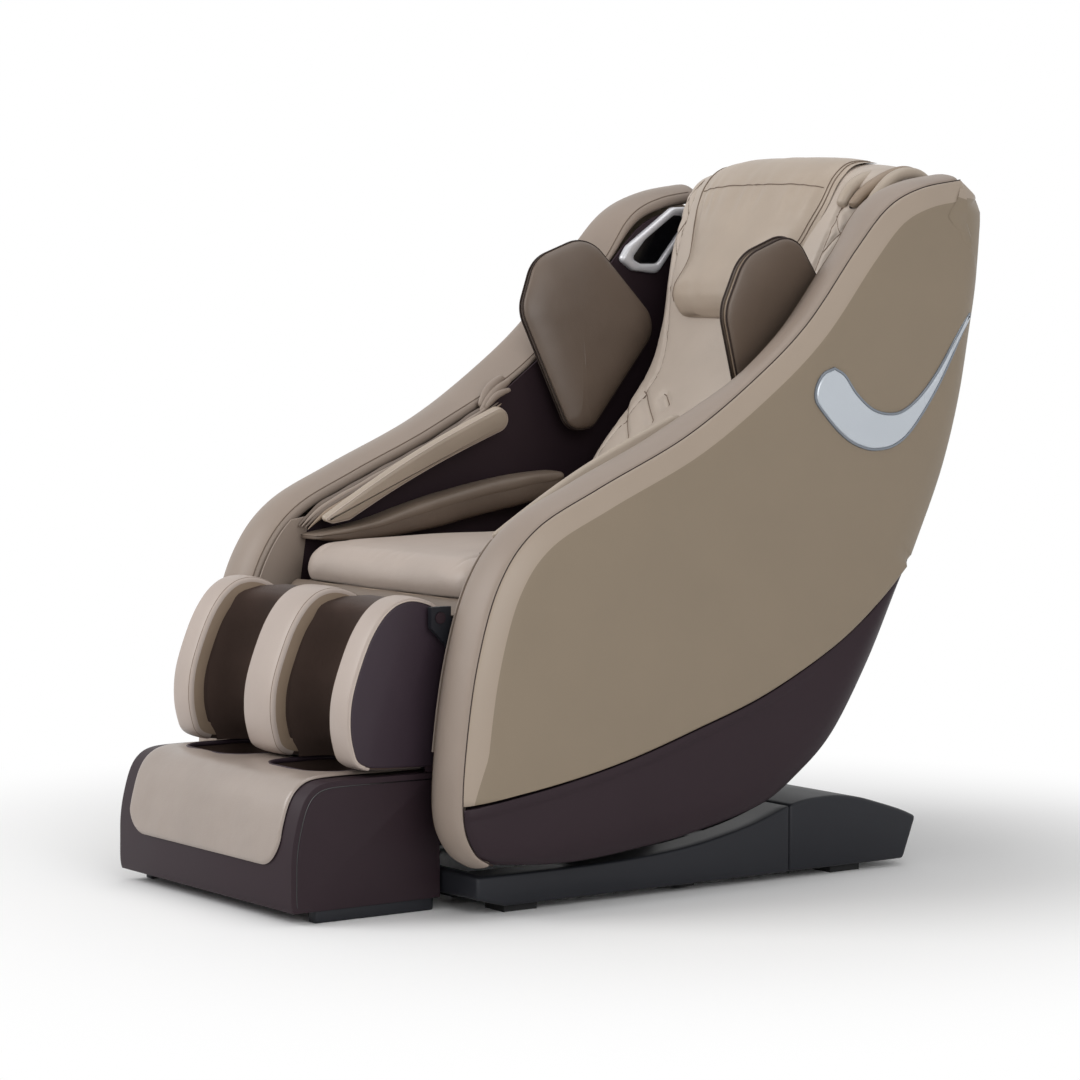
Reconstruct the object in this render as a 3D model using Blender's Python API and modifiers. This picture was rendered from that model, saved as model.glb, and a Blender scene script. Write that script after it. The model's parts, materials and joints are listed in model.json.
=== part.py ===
"""Massage chair whose one-piece body slides forward as it leans back.

Metres, +Z up.  The sitter faces -Y and +X is the sitter's left.  The origin is on the floor
at the middle of the chair.  Side outlines are (y, z) points.
"""
import math

import bmesh
import bpy
from mathutils import Matrix, Vector

# ---------------------------------------------------------------- driving dimensions

GAP = 0.0003            # clearance between touching solids
SKIN = 0.006            # wall of the moulded covers

FACE_X = 0.415          # outer face of the side panels
SEAM_X = 0.400          # seam between side panel and rim
RIM_X = 0.305           # inner edge of the rim
LINER_X = 0.298         # inner face of the inner liner
ROLL_WIDTH = 0.055      # width of the panel's rounded front edge

BASE_X = 0.360          # half width of the base covers
BASE_FLOOR = 0.012      # underside of the base covers
BASE_OPENING_X = 0.300  # half width of the opening that the carriage runs in
COVER_SPLIT_Y = 0.260   # joint between front and rear base cover

TILT_PIVOT = (0.000, 0.200)
LINK_FOOT = (0.2035, 0.050)
LINK_HEAD = (0.170, 0.260)

SEAT_RAIL_Z = 0.380
SEAT_RAIL_TOP = 0.410
SEAT_TOP = 0.555

CALF_PIVOT = (-0.372, 0.455)
CALF_HALF = 0.268
CALF_REAR_Y = -0.385
FIN_WIDTH = 0.056
MID_FIN_HALF = 0.045
CALF_PUSH = (-0.318, 0.360)     # clevis behind the calf rest
PUSH_PIVOT = (0.060, 0.310)     # rear pivot of the calf actuator

FOOT_HALF = 0.268
FOOT_TOP = 0.215
WELL_X = 0.127
WELL_HALF_X = 0.090
WELL_Y = (-0.552, -0.400)
GUIDE_Y = -0.3765           # guide tubes of the foot rest's extension
GUIDE_RADIUS = 0.0055

TRACK_LEAN = math.atan(0.30)    # massage track leans back from the vertical
TRACK_REF = (0.510, 0.833)      # a point on the track's middle plane
TRACK_HALF = 0.135
CARRIAGE_Z = 0.700              # height of the massage head at rest
ROLLER_RADIUS = 0.026

PILLOW_HALF = 0.190
PILLOW_HINGE = (0.552, 1.184)
SHOULDER_TURN = math.radians(4)
SHOULDER_LEAN = math.radians(7)      # the tops of the shoulder pads lean outward
SHOULDER_CENTRE = (0.257, 0.319, 0.882)
SHOULDER_HINGE = (0.257, 0.448, 0.882)

# Side outlines, front bottom to rear top.
SEAM_LINE = [(-0.350, 0.084), (-0.383, 0.106), (-0.403, 0.156), (-0.400, 0.250), (-0.378, 0.390),
             (-0.337, 0.512), (-0.270, 0.592), (-0.150, 0.652), (0.015, 0.726), (0.150, 0.812),
             (0.261, 0.902), (0.363, 1.022), (0.430, 1.090), (0.500, 1.122), (0.585, 1.137)]
REAR_LINE = [(-0.342, 0.083), (-0.200, 0.076), (-0.060, 0.088), (0.036, 0.102), (0.168, 0.134),
             (0.245, 0.178), (0.317, 0.240), (0.389, 0.348), (0.447, 0.458), (0.491, 0.546),
             (0.543, 0.660), (0.579, 0.775), (0.602, 0.890), (0.616, 0.975), (0.6281, 1.105)]
SPLIT_LINE = [(-0.403, 0.178), (-0.238, 0.201), (-0.107, 0.228), (0.027, 0.267), (0.166, 0.313),
              (0.308, 0.382), (0.402, 0.449), (0.478, 0.520)]
SPLIT_FRONT_Z = 0.178
SPLIT_REAR_Z = 0.520

# ---------------------------------------------------------------- scene and materials


def clear_scene():
    for thing in list(bpy.data.objects):
        bpy.data.objects.remove(thing, do_unlink=True)


def new_collection(name):
    group = bpy.data.collections.new(name)
    bpy.context.scene.collection.children.link(group)
    return group


def linear(value):
    """Turn one 0-255 display value into a linear one."""
    share = value / 255
    return share / 12.92 if share <= 0.04045 else ((share + 0.055) / 1.055) ** 2.4


def material(name, display_colour, roughness, metallic=0.0):
    made = bpy.data.materials.new(name)
    made.use_nodes = True
    shader = made.node_tree.nodes["Principled BSDF"]
    colour = [linear(value) for value in display_colour] + [1.0]
    shader.inputs["Base Color"].default_value = colour
    shader.inputs["Roughness"].default_value = roughness
    shader.inputs["Metallic"].default_value = metallic
    made.diffuse_color = colour
    return made


clear_scene()
PARTS = new_collection("massage_chair")
CUTTERS = new_collection("cutters")

TAUPE_PANEL = material("taupe_panel", (140, 125, 107), 0.38)
DARK_PANEL = material("dark_panel", (68, 57, 59), 0.45)
RIM_LEATHER = material("rim_leather", (166, 152, 138), 0.50)
BEIGE_LEATHER = material("beige_leather", (176, 163, 149), 0.50)
BROWN_LEATHER = material("brown_leather", (98, 85, 73), 0.48)
BROWN_FABRIC = material("brown_fabric", (66, 54, 48), 0.90)
BASE_PLASTIC = material("base_plastic", (43, 43, 48), 0.42)
SILVER = material("silver_trim", (181, 188, 196), 0.28, 0.6)
GLOSS_BLACK = material("gloss_black", (12, 12, 14), 0.10)
PAINTED_STEEL = material("painted_steel", (40, 42, 45), 0.55, 0.3)
BRIGHT_STEEL = material("bright_steel", (190, 192, 196), 0.25, 1.0)
RUBBER = material("rubber", (20, 20, 21), 0.85)
NYLON = material("nylon", (214, 212, 204), 0.50)

# ---------------------------------------------------------------- outlines


def smooth(points, count):
    """Points evenly spaced along a Catmull-Rom curve through the given ones."""
    nodes = [Vector(p) for p in points]
    nodes = [2 * nodes[0] - nodes[1]] + nodes + [2 * nodes[-1] - nodes[-2]]
    fine = []
    for a, b, c, d in zip(nodes, nodes[1:], nodes[2:], nodes[3:]):
        for step in range(16):
            t = step / 16
            fine.append(0.5 * (2 * b + (c - a) * t + (2 * a - 5 * b + 4 * c - d) * t * t
                               + (3 * b - 3 * c + d - a) * t ** 3))
    fine.append(nodes[-2])
    return even(fine, count)


def even(points, count):
    """The polyline's points again, evenly spaced."""
    lengths = [0.0]
    for a, b in zip(points, points[1:]):
        lengths.append(lengths[-1] + (b - a).length)
    result = []
    index = 0
    for step in range(count):
        target = lengths[-1] * step / (count - 1)
        while index < len(points) - 2 and lengths[index + 1] < target:
            index += 1
        span = lengths[index + 1] - lengths[index]
        share = (target - lengths[index]) / span if span else 0.0
        result.append(points[index].lerp(points[index + 1], min(1.0, share)))
    return result


def sparse(points, error):
    """As few of the line's points as keep it within the error."""
    first, last = points[0], points[-1]
    chord = (last - first).normalized()
    across = Vector((-chord.y, chord.x))
    away = [abs((point - first).dot(across)) for point in points]
    far = max(range(len(points)), key=away.__getitem__)
    if away[far] < error:
        return [first, last]
    return sparse(points[:far + 1], error)[:-1] + sparse(points[far:], error)


def offset(points, distance):
    """The open line moved sideways, to its left where distance is positive."""
    moved = []
    for index, point in enumerate(points):
        before = points[max(index - 1, 0)]
        after = points[min(index + 1, len(points) - 1)]
        along = (after - before).normalized()
        moved.append(point + distance * Vector((-along.y, along.x)))
    return moved


def rounded(corners, steps=4):
    """A closed outline from (a, b, radius) corners, with an arc at each."""
    outline = []
    for index, (a, b, radius) in enumerate(corners):
        here = Vector((a, b))
        before = (Vector(corners[index - 1][:2]) - here).normalized()
        after = (Vector(corners[(index + 1) % len(corners)][:2]) - here).normalized()
        if radius == 0:
            outline.append(here)
            continue
        half = before.angle(after) / 2
        centre = here + (before + after).normalized() * radius / math.sin(half)
        reach = radius / math.tan(half)
        start = here + before * reach - centre
        end = here + after * reach - centre
        turn = start.angle_signed(end)
        for step in range(steps + 1):
            angle = -turn * step / steps
            outline.append(centre + Matrix.Rotation(angle, 2) @ start)
    return outline


def rectangle(low, high, radius=0.0, steps=3):
    return rounded([(low[0], low[1], radius), (high[0], low[1], radius),
                    (high[0], high[1], radius), (low[0], high[1], radius)], steps)


# ---------------------------------------------------------------- solids


def add(name, bm, look, group=None):
    """Put a bmesh in the scene as an object."""
    bmesh.ops.recalc_face_normals(bm, faces=bm.faces)
    mesh = bpy.data.meshes.new(name)
    bm.to_mesh(mesh)
    bm.free()
    mesh.materials.append(look)
    made = bpy.data.objects.new(name, mesh)
    (group or PARTS).objects.link(made)
    return made


def settle(obj):
    """Apply the object's modifiers, weld its caps and leave it at the world's origin."""
    bpy.context.view_layer.update()
    seen = obj.evaluated_get(bpy.context.evaluated_depsgraph_get())
    mesh = bpy.data.meshes.new_from_object(seen)
    mesh.transform(obj.matrix_world)
    bm = bmesh.new()
    bm.from_mesh(mesh)
    bmesh.ops.remove_doubles(bm, verts=bm.verts, dist=0.00001)
    name = obj.name
    look = obj.data.materials[0]
    cutters = [m.object for m in obj.modifiers if m.type == "BOOLEAN"]
    bpy.data.objects.remove(obj)
    for cutter in cutters:
        bpy.data.objects.remove(cutter)
    bpy.data.meshes.remove(mesh)
    return add(name, bm, look)


AXES = {
    "YZ": Matrix(((0, 0, 1, 0), (1, 0, 0, 0), (0, 1, 0, 0), (0, 0, 0, 1))),
    "XZ": Matrix(((1, 0, 0, 0), (0, 0, -1, 0), (0, 1, 0, 0), (0, 0, 0, 1))),
    "XY": Matrix.Identity(4),
}


def extrude(name, outline, low, high, look, plane="YZ", edge=0.0):
    """A flat outline given thickness between two places on the third axis."""
    curve = bpy.data.curves.new(name, "CURVE")
    curve.dimensions = "2D"
    curve.fill_mode = "BOTH"
    curve.extrude = (high - low) / 2
    curve.materials.append(look)
    line = curve.splines.new("POLY")
    line.points.add(len(outline) - 1)
    for point, (a, b) in zip(line.points, outline):
        point.co = (a, b, 0, 1)
    line.use_cyclic_u = True
    made = bpy.data.objects.new(name, curve)
    PARTS.objects.link(made)
    middle = (low + high) / 2
    along = {"YZ": (middle, 0, 0), "XZ": (0, middle, 0), "XY": (0, 0, middle)}[plane]
    made.matrix_world = Matrix.Translation(along) @ AXES[plane]
    made = settle(made)
    if edge:
        bevel(made, edge)
    return made


def box(name, low, high, look, edge=0.0):
    bm = bmesh.new()
    bmesh.ops.create_cube(bm, size=1)
    size = [b - a for a, b in zip(low, high)]
    centre = [(a + b) / 2 for a, b in zip(low, high)]
    bmesh.ops.scale(bm, vec=size, verts=bm.verts)
    bmesh.ops.translate(bm, vec=centre, verts=bm.verts)
    made = add(name, bm, look)
    if edge:
        bevel(made, edge)
    return made


def rod(name, start, end, radius, look, sides=20):
    """A round bar between two points."""
    start, end = Vector(start), Vector(end)
    bm = bmesh.new()
    bmesh.ops.create_cone(bm, cap_ends=True, segments=sides, radius1=radius, radius2=radius,
                          depth=(end - start).length)
    turn = Vector((0, 0, 1)).rotation_difference(end - start).to_matrix().to_4x4()
    bmesh.ops.transform(bm, matrix=Matrix.Translation((start + end) / 2) @ turn, verts=bm.verts)
    made = add(name, bm, look)
    made.data.shade_smooth()
    made.data.set_sharp_from_angle(angle=math.radians(35))
    return made


def bevel(obj, width, steps=2, angle=35):
    rounding = obj.modifiers.new("edges", "BEVEL")
    rounding.width = width
    rounding.segments = steps
    rounding.limit_method = "ANGLE"
    rounding.angle_limit = math.radians(angle)


def combine(obj, operation, *others):
    """Cut others from the object, or fuse them to it, and keep the result."""
    for other in others:
        PARTS.objects.unlink(other)
        CUTTERS.objects.link(other)
        other.hide_render = True
        other.display_type = "WIRE"
        step = obj.modifiers.new(operation.lower(), "BOOLEAN")
        step.operation = operation
        step.solver = "EXACT"
        step.object = other
    return settle(obj)


def fuse(obj, *others):
    return combine(obj, "UNION", *others)


def cut(obj, *others):
    return combine(obj, "DIFFERENCE", *others)


def bridge(bm, rings, closed_ends=True):
    """Join equal rings of vertices with quads and close both ends."""
    for first, second in zip(rings, rings[1:]):
        for index in range(len(first)):
            after = (index + 1) % len(first)
            bm.faces.new((first[index], first[after], second[after], second[index]))
    if closed_ends:
        for ring in (rings[0], rings[-1]):
            middle = bm.verts.new(sum((v.co for v in ring), Vector()) / len(ring))
            for index in range(len(ring)):
                bm.faces.new((ring[index], ring[(index + 1) % len(ring)], middle))


def loft(name, sections, look, hollowed=False):
    """A closed solid through a list of equal rings of points, which may be hollowed rings."""
    bm = bmesh.new()
    rings = [[bm.verts.new(point) for point in section] for section in sections]
    bridge(bm, rings, closed_ends=not hollowed)
    if hollowed:
        bm.faces.new(rings[0])
        bm.faces.new(rings[-1])
    made = add(name, bm, look)
    made.data.shade_smooth()
    made.data.set_sharp_from_angle(angle=math.radians(50))
    return made


def sheet(name, rows, thickness, look):
    """A grid of points given a wall thickness on the side away from the viewer."""
    bm = bmesh.new()
    grid = [[bm.verts.new(point) for point in row] for row in rows]
    for row, following in zip(grid, grid[1:]):
        for index in range(len(row) - 1):
            bm.faces.new((row[index], row[index + 1], following[index + 1], following[index]))
    made = add(name, bm, look)
    if made.data.polygons[len(made.data.polygons) // 2].normal.x < -0.5:
        made.data.flip_normals()
    wall = made.modifiers.new("wall", "SOLIDIFY")
    wall.thickness = thickness
    wall.offset = -1
    made.data.shade_smooth()
    return made


def cushion(name, outline, layers, place, look):
    """A padded solid: the outline drawn in by each layer's inset at that layer's height."""
    middle = sum(outline, Vector((0, 0))) / len(outline)
    reach_a = max(abs(p.x - middle.x) for p in outline)
    reach_b = max(abs(p.y - middle.y) for p in outline)
    sections = []
    for inset, height in layers:
        scale_a = 1 - inset / reach_a
        scale_b = 1 - inset / reach_b
        ring = [((p.x - middle.x) * scale_a + middle.x, (p.y - middle.y) * scale_b + middle.y)
                for p in outline]
        sections.append([place @ Vector((a, b, height)) for a, b in ring])
    return loft(name, sections, look)


def mirrored(source, name):
    """The same piece on the sitter's right."""
    source = settle(source)
    copy = source.copy()
    copy.data = source.data.copy()
    copy.name = name
    copy.data.transform(Matrix.Scale(-1, 4, (1, 0, 0)))
    copy.data.flip_normals()
    PARTS.objects.link(copy)
    return copy


def both_sides(stem, make):
    """Make a left piece and its mirror image on the right."""
    left = make(stem + "_left")
    mirrored(left, stem + "_right")


# ---------------------------------------------------------------- base


def base_profile(inset):
    """Side outline of the low front cover, drawn in by a wall thickness."""
    top = [(0.198, 0.100), (0.076, 0.074), (-0.044, 0.064), (-0.198, 0.061)]
    front = -0.354 + inset
    rear = COVER_SPLIT_Y - GAP - inset
    floor = BASE_FLOOR if inset == 0 else -0.01
    line = [(front, 0.058 - inset), (front, 0.026 if inset == 0 else floor)]
    if inset == 0:
        line.append((-0.300, floor))
    line += [(rear, floor), (rear, 0.121 - inset)]
    return [Vector(p) for p in line] + [Vector((y, z - inset)) for y, z in top]


def base_front_cover():
    cover = extrude("base_front_cover", base_profile(0), -BASE_X, BASE_X, BASE_PLASTIC)
    well = extrude("well", base_profile(SKIN), -BASE_X + SKIN, BASE_X - SKIN, BASE_PLASTIC)
    opening = box("opening", (-BASE_OPENING_X, -0.330, -0.05),
                  (BASE_OPENING_X, COVER_SPLIT_Y + 0.05, 0.20), BASE_PLASTIC)
    return cut(cover, well, opening)


def base_rear_cover():
    start = COVER_SPLIT_Y + GAP
    line = [(start, BASE_FLOOR), (0.505, BASE_FLOOR), (0.532, 0.081), (0.500, 0.095),
            (0.452, 0.110), (0.409, 0.1225), (0.366, 0.1295), (0.310, 0.130), (start, 0.1215)]
    inner = [(start - 0.02, -0.01), (0.499, -0.01), (0.525, 0.077), (0.500, 0.088),
             (0.452, 0.103), (0.409, 0.1155), (0.366, 0.1225), (0.310, 0.123),
             (start - 0.02, 0.1115)]
    cover = extrude("base_rear_cover", [Vector(p) for p in line], -BASE_X, BASE_X, BASE_PLASTIC)
    well = extrude("well", [Vector(p) for p in inner], -BASE_X + SKIN, BASE_X - SKIN,
                   BASE_PLASTIC)
    cover = cut(cover, well)
    face = [Vector(p) for p in ((0.485, 0.032), (0.5120, 0.032), (0.5245, 0.068), (0.485, 0.068))]
    block = extrude("block", face, -0.266, -0.196, BASE_PLASTIC)
    cover = fuse(cover, block)
    inlet = box("inlet", (-0.258, 0.490, 0.039), (-0.232, 0.540, 0.061), BASE_PLASTIC)
    slot = box("slot", (-0.2235, 0.490, 0.0395), (-0.2045, 0.540, 0.0605), BASE_PLASTIC)
    return cut(cover, inlet, slot)


def base_frame():
    low, high = BASE_FLOOR + 0.0005, 0.0295
    wide = BASE_X - SKIN - 0.0005
    tubes = [box("tube", (side * 0.22 - 0.02, -0.320, low), (side * 0.22 + 0.02, 0.480, high),
                 PAINTED_STEEL) for side in (-1, 1)]
    for y, half in ((0.2035, 0.016), (0.390, 0.022)):
        tubes.append(box("cross", (-wide, y - half, low), (wide, y + half, high),
                         PAINTED_STEEL))
    for side in (-1, 1):
        ear = extrude("ear", eye_plate(LINK_FOOT, 0.014, 0.1875, 0.2195, low + 0.002),
                      side * 0.085 - 0.004, side * 0.085 + 0.004, PAINTED_STEEL)
        tubes.append(ear)
    frame = box("base_frame", (-wide, -0.262 - 0.022, low), (wide, -0.262 + 0.022, high),
                PAINTED_STEEL)
    rails = [box("rail", (side * 0.22 - 0.015, -0.315, 0.029), (side * 0.22 + 0.015, 0.235, 0.040),
                 PAINTED_STEEL) for side in (-1, 1)]
    frame = fuse(frame, *tubes, *rails)
    hole = rod("hole", (-0.10, *LINK_FOOT), (0.10, *LINK_FOOT), 0.008 + GAP, PAINTED_STEEL)
    return cut(frame, hole)


def eye_plate(eye, radius, y_low, y_high, foot_z):
    """Outline of a lug: a foot on a rail and a round eye."""
    outline = []
    up = eye[1] > foot_z
    for step in range(9):
        angle = math.pi * step / 8
        rise = math.sin(angle) if up else -math.sin(angle)
        outline.append(Vector((eye[0] + radius * math.cos(angle), eye[1] + radius * rise)))
    return outline + [Vector((y_low, foot_z)), Vector((y_high, foot_z))]


def base_details():
    for place, y in (("front", -0.262), ("rear", 0.390)):
        for side, word in ((1, "left"), (-1, "right")):
            low = (side * 0.318 - 0.026, y - 0.031, 0.0)
            high = (side * 0.318 + 0.026, y + 0.031, BASE_FLOOR + 0.0002)
            box(f"foot_{place}_{word}", low, high, RUBBER)
    box("control_unit", (-0.170, 0.330, 0.0298), (0.070, 0.455, 0.0850), PAINTED_STEEL, 0.003)
    motor = rod("slide_motor", (0.140, 0.250, 0.060), (0.140, 0.445, 0.060), 0.022,
                PAINTED_STEEL)
    bracket = box("bracket", (0.122, 0.372, 0.0300), (0.158, 0.408, 0.055), PAINTED_STEEL)
    motor = fuse(motor, bracket)
    bore = rod("bore", (0.140, 0.200, 0.060), (0.140, 0.436, 0.060), 0.0078, PAINTED_STEEL)
    cut(motor, bore)
    box("power_switch", (-0.2228, 0.4980, 0.0405), (-0.2052, 0.5180, 0.0595), GLOSS_BLACK)


# ---------------------------------------------------------------- carriage and tilt link


def carriage():
    frame = box("carriage_frame", (0.205, -0.120, 0.0520), (0.235, 0.200, 0.067), PAINTED_STEEL)
    pieces = [box("bar", (-0.235, -0.120, 0.0523), (-0.205, 0.200, 0.067), PAINTED_STEEL)]
    for y in (-0.095, 0.135):
        pieces.append(box("cross", (-0.230, y - 0.015, 0.0530), (0.230, y + 0.015, 0.0665),
                          PAINTED_STEEL))
    for side in (1, -1):
        pieces.append(extrude("upright", eye_plate(TILT_PIVOT, 0.026, -0.100, 0.100, 0.060),
                              side * 0.217 - 0.005, side * 0.217 + 0.005, PAINTED_STEEL))
        for y in (-0.075, 0.155):
            pieces.append(box("slide_block", (side * 0.22 - 0.018, y - 0.025, 0.0403),
                              (side * 0.22 + 0.018, y + 0.025, 0.0540), PAINTED_STEEL))
    pieces.append(rod("shaft", (-0.262, *TILT_PIVOT), (0.262, *TILT_PIVOT), 0.010,
                      PAINTED_STEEL, 16))
    pieces.append(rod("screw", (0.140, 0.140, 0.060), (0.140, 0.430, 0.060), 0.0065,
                      PAINTED_STEEL, 12))
    fuse(frame, *pieces)


def tilt_link():
    link = rod("tilt_link", (-0.095, *LINK_FOOT), (0.095, *LINK_FOOT), 0.008, PAINTED_STEEL,
               12)
    head = rod("head", (-0.056, *LINK_HEAD), (0.056, *LINK_HEAD), 0.011, PAINTED_STEEL, 12)
    along = (Vector(LINK_HEAD) - Vector(LINK_FOOT)).normalized()
    across = Vector((-along.y, along.x)) * 0.009
    foot, top = Vector(LINK_FOOT), Vector(LINK_HEAD)
    outline = [foot - across, foot + across, top + across, top - across]
    arms = [extrude("arm", outline, side * 0.046 - 0.004, side * 0.046 + 0.004, PAINTED_STEEL)
            for side in (-1, 1)]
    fuse(link, head, *arms)


# ---------------------------------------------------------------- seat and back frame


def seat_frame():
    low, high = SEAT_RAIL_Z, SEAT_RAIL_TOP
    frame = box("seat_frame", (0.235, -0.300, low), (0.265, 0.335, high), PAINTED_STEEL)
    pieces = [box("rail", (-0.265, -0.300, low), (-0.235, 0.335, high), PAINTED_STEEL)]
    arm_x = CALF_HALF + 0.014
    for y, half in ((-0.285, arm_x + 0.005), (0.170, 0.250), (0.320, 0.250)):
        pieces.append(box("cross", (-half, y - 0.014, low + 0.001),
                          (half, y + 0.014, high - 0.001), PAINTED_STEEL))
    for side in (1, -1):
        pieces.append(extrude("lug", eye_plate(TILT_PIVOT, 0.024, -0.060, 0.060, 0.392),
                              side * 0.250 - 0.005, side * 0.250 + 0.005, PAINTED_STEEL))
        pieces.append(extrude("ear", eye_plate(LINK_HEAD, 0.018, 0.158, 0.182, 0.392),
                              side * 0.064 - 0.004, side * 0.064 + 0.004, PAINTED_STEEL))
        knee = [Vector(p) for p in ((-0.292, 0.383), (-0.292, 0.407), (-0.352, 0.455),
                                    (-0.352, 0.472), (-0.388, 0.472), (-0.388, 0.440),
                                    (-0.330, 0.383))]
        pieces.append(extrude("arm", knee, side * arm_x - 0.005, side * arm_x + 0.005,
                              PAINTED_STEEL))
        for y in (-0.180, 0.120):
            pieces.append(box("side_bracket", (min(side * 0.255, side * (LINER_X - GAP)),
                                               y - 0.02, low + 0.004),
                              (max(side * 0.255, side * (LINER_X - GAP)), y + 0.02,
                               high - 0.004), PAINTED_STEEL))
    bar = box("push_bar", (-0.030, PUSH_PIVOT[0] - 0.012, PUSH_PIVOT[1] + 0.034),
              (0.030, 0.180, PUSH_PIVOT[1] + 0.050), PAINTED_STEEL)
    strap = box("strap", (-0.020, 0.158, PUSH_PIVOT[1] + 0.040), (0.020, 0.180, 0.390),
                PAINTED_STEEL)
    pan = box("pan", (-0.262, -0.296, high - 0.001), (0.262, 0.205, high + 0.008),
              PAINTED_STEEL)
    pieces += [bar, strap, pan]
    for side in (1, -1):
        pieces.append(extrude("fork", eye_plate(PUSH_PIVOT, 0.014, 0.049, 0.071, 0.350),
                              side * 0.026 - 0.003, side * 0.026 + 0.003, PAINTED_STEEL))
    frame = fuse(frame, *pieces)
    holes = [rod("hole", (-0.3, *TILT_PIVOT), (0.3, *TILT_PIVOT), 0.0106, PAINTED_STEEL, 16),
             rod("hole", (-0.3, *LINK_HEAD), (0.3, *LINK_HEAD), 0.0080, PAINTED_STEEL, 12),
             rod("hole", (-0.3, *CALF_PIVOT), (0.3, *CALF_PIVOT), 0.0096, PAINTED_STEEL, 16),
             rod("hole", (-0.06, *PUSH_PIVOT), (0.06, *PUSH_PIVOT), 0.0066, PAINTED_STEEL, 12)]
    return cut(frame, *holes)


def track_point(z, forward=0.0):
    """A (y, z) point on the massage track, moved forward square to it."""
    y = TRACK_REF[0] + math.tan(TRACK_LEAN) * (z - TRACK_REF[1])
    return Vector((y - forward * math.cos(TRACK_LEAN), z + forward * math.sin(TRACK_LEAN)))


def back_frame():
    """Two bent uprights on the seat rails, tied at the top and behind the loins."""
    centre = [Vector((0.240, SEAT_RAIL_TOP + 0.013)), Vector((0.330, SEAT_RAIL_TOP + 0.016)),
              track_point(0.500, -0.008), track_point(1.050, -0.008)]
    outline = offset(centre, 0.010) + list(reversed(offset(centre, -0.010)))
    frame = extrude("back_frame", outline, 0.152, 0.172, PAINTED_STEEL)
    pieces = [extrude("upright", outline, -0.172, -0.152, PAINTED_STEEL)]
    for z in (0.560, 1.035):
        middle = track_point(z, -0.010)
        pieces.append(box("tie", (-0.160, middle.x - 0.006, middle.y - 0.014),
                          (0.160, middle.x + 0.006, middle.y + 0.014), PAINTED_STEEL))
    ends = [track_point(0.590), track_point(1.045)]
    outline = offset(ends, 0.016) + list(reversed(offset(ends, -0.012)))
    for side in (1, -1):
        low, high = sorted((side * (TRACK_HALF - 0.006), side * (TRACK_HALF + 0.019)))
        pieces.append(extrude("track", outline, low, high, PAINTED_STEEL))
    fuse(frame, *pieces)


def seat_parts():
    box("seat_base", (-0.255, -0.280, SEAT_RAIL_TOP + 0.008 + GAP), (0.255, 0.180, 0.4690),
        BROWN_LEATHER, 0.010)
    outline = rounded([(-0.258, -0.300, 0.045), (0.258, -0.300, 0.045), (0.252, 0.180, 0.050),
                       (-0.252, 0.180, 0.050)], 5)
    layers = [(0.016, 0.4693), (0.004, 0.476), (0.000, 0.490), (0.003, 0.506), (0.014, 0.520),
              (0.036, 0.534), (0.075, 0.547), (0.120, SEAT_TOP)]
    cushion("seat_cushion", outline, layers, Matrix.Identity(4), BEIGE_LEATHER)


# ---------------------------------------------------------------- back rest


def superellipse(half_width, front, rear, count=20, power=3.0):
    """Ring of points about an upright section between a front and a rear point."""
    middle = (front + rear) / 2
    depth = (front - rear) / 2
    ring = []
    for step in range(count):
        angle = 2 * math.pi * step / count
        c, s = math.cos(angle), math.sin(angle)
        across = half_width * math.copysign(abs(c) ** (2 / power), c)
        along = math.copysign(abs(s) ** (2 / power), s)
        ring.append(Vector((across, middle.x + depth.x * along, middle.y + depth.y * along)))
    return ring


BACK_STATIONS = [
    # front point, rear point, half width
    ((0.232, 0.508), (0.340, 0.486), 0.200),
    ((0.205, 0.530), (0.350, 0.505), 0.216),
    ((0.207, 0.585), (0.372, 0.575), 0.222),
    ((0.238, 0.660), (0.394, 0.655), 0.205),
    ((0.303, 0.738), (0.418, 0.735), 0.185),
    ((0.370, 0.815), (0.443, 0.815), 0.198),
    ((0.409, 0.900), (0.470, 0.900), 0.218),
    ((0.434, 0.975), (0.494, 0.980), 0.236),
    ((0.460, 1.040), (0.515, 1.045), 0.256),
    ((0.484, 1.092), (0.540, 1.082), 0.256),
    ((0.506, 1.136), (0.560, 1.094), 0.252),
    ((0.535, 1.164), (0.582, 1.104), 0.245),
    ((0.578, 1.168), (0.598, 1.122), 0.232),
]


def back_cushion():
    sections = [superellipse(half, Vector(front), Vector(rear))
                for front, rear, half in BACK_STATIONS]
    loft("back_cushion", sections, BEIGE_LEATHER)


def head_pillow():
    """A crowned flap hung over the top of the back, rolled at its lower end."""
    fronts = smooth([front for front, rear, half in BACK_STATIONS], 60)
    path = [p for p in fronts if 0.905 < p.y and p.x < 0.552]
    path = even(path, 12)
    outward = offset(path, 0.001)
    thickness = [0.022, 0.034, 0.038, 0.036, 0.033, 0.031, 0.029, 0.027, 0.024, 0.020, 0.016,
                 0.010]
    sections = []
    for index, depth in enumerate(thickness):
        step = (outward[index] - path[index]).normalized()
        rear = path[index] + step * 0.0035
        half = PILLOW_HALF - (0.010 if index in (0, 11) else 0.0)
        sections.append(superellipse(half, rear + step * depth, rear, 20, 3.2))
    loft("head_pillow", sections, BEIGE_LEATHER)


def shoulder_place(side):
    """Frame of a shoulder pad: its face looks inward and a little forward."""
    turn = SHOULDER_TURN * side
    forward = Vector((math.sin(turn), -math.cos(turn), 0))
    level = Vector((-side * math.cos(turn), -side * math.sin(turn), 0))
    upright = Vector((0, 0, 1))
    place = Matrix.Identity(4)
    place.col[0] = (*forward, 0)
    place.col[1] = (*(upright * math.cos(SHOULDER_LEAN) - level * math.sin(SHOULDER_LEAN)), 0)
    place.col[2] = (*(level * math.cos(SHOULDER_LEAN) + upright * math.sin(SHOULDER_LEAN)), 0)
    place.col[3] = (side * SHOULDER_CENTRE[0], *SHOULDER_CENTRE[1:], 1)
    return place


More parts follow.
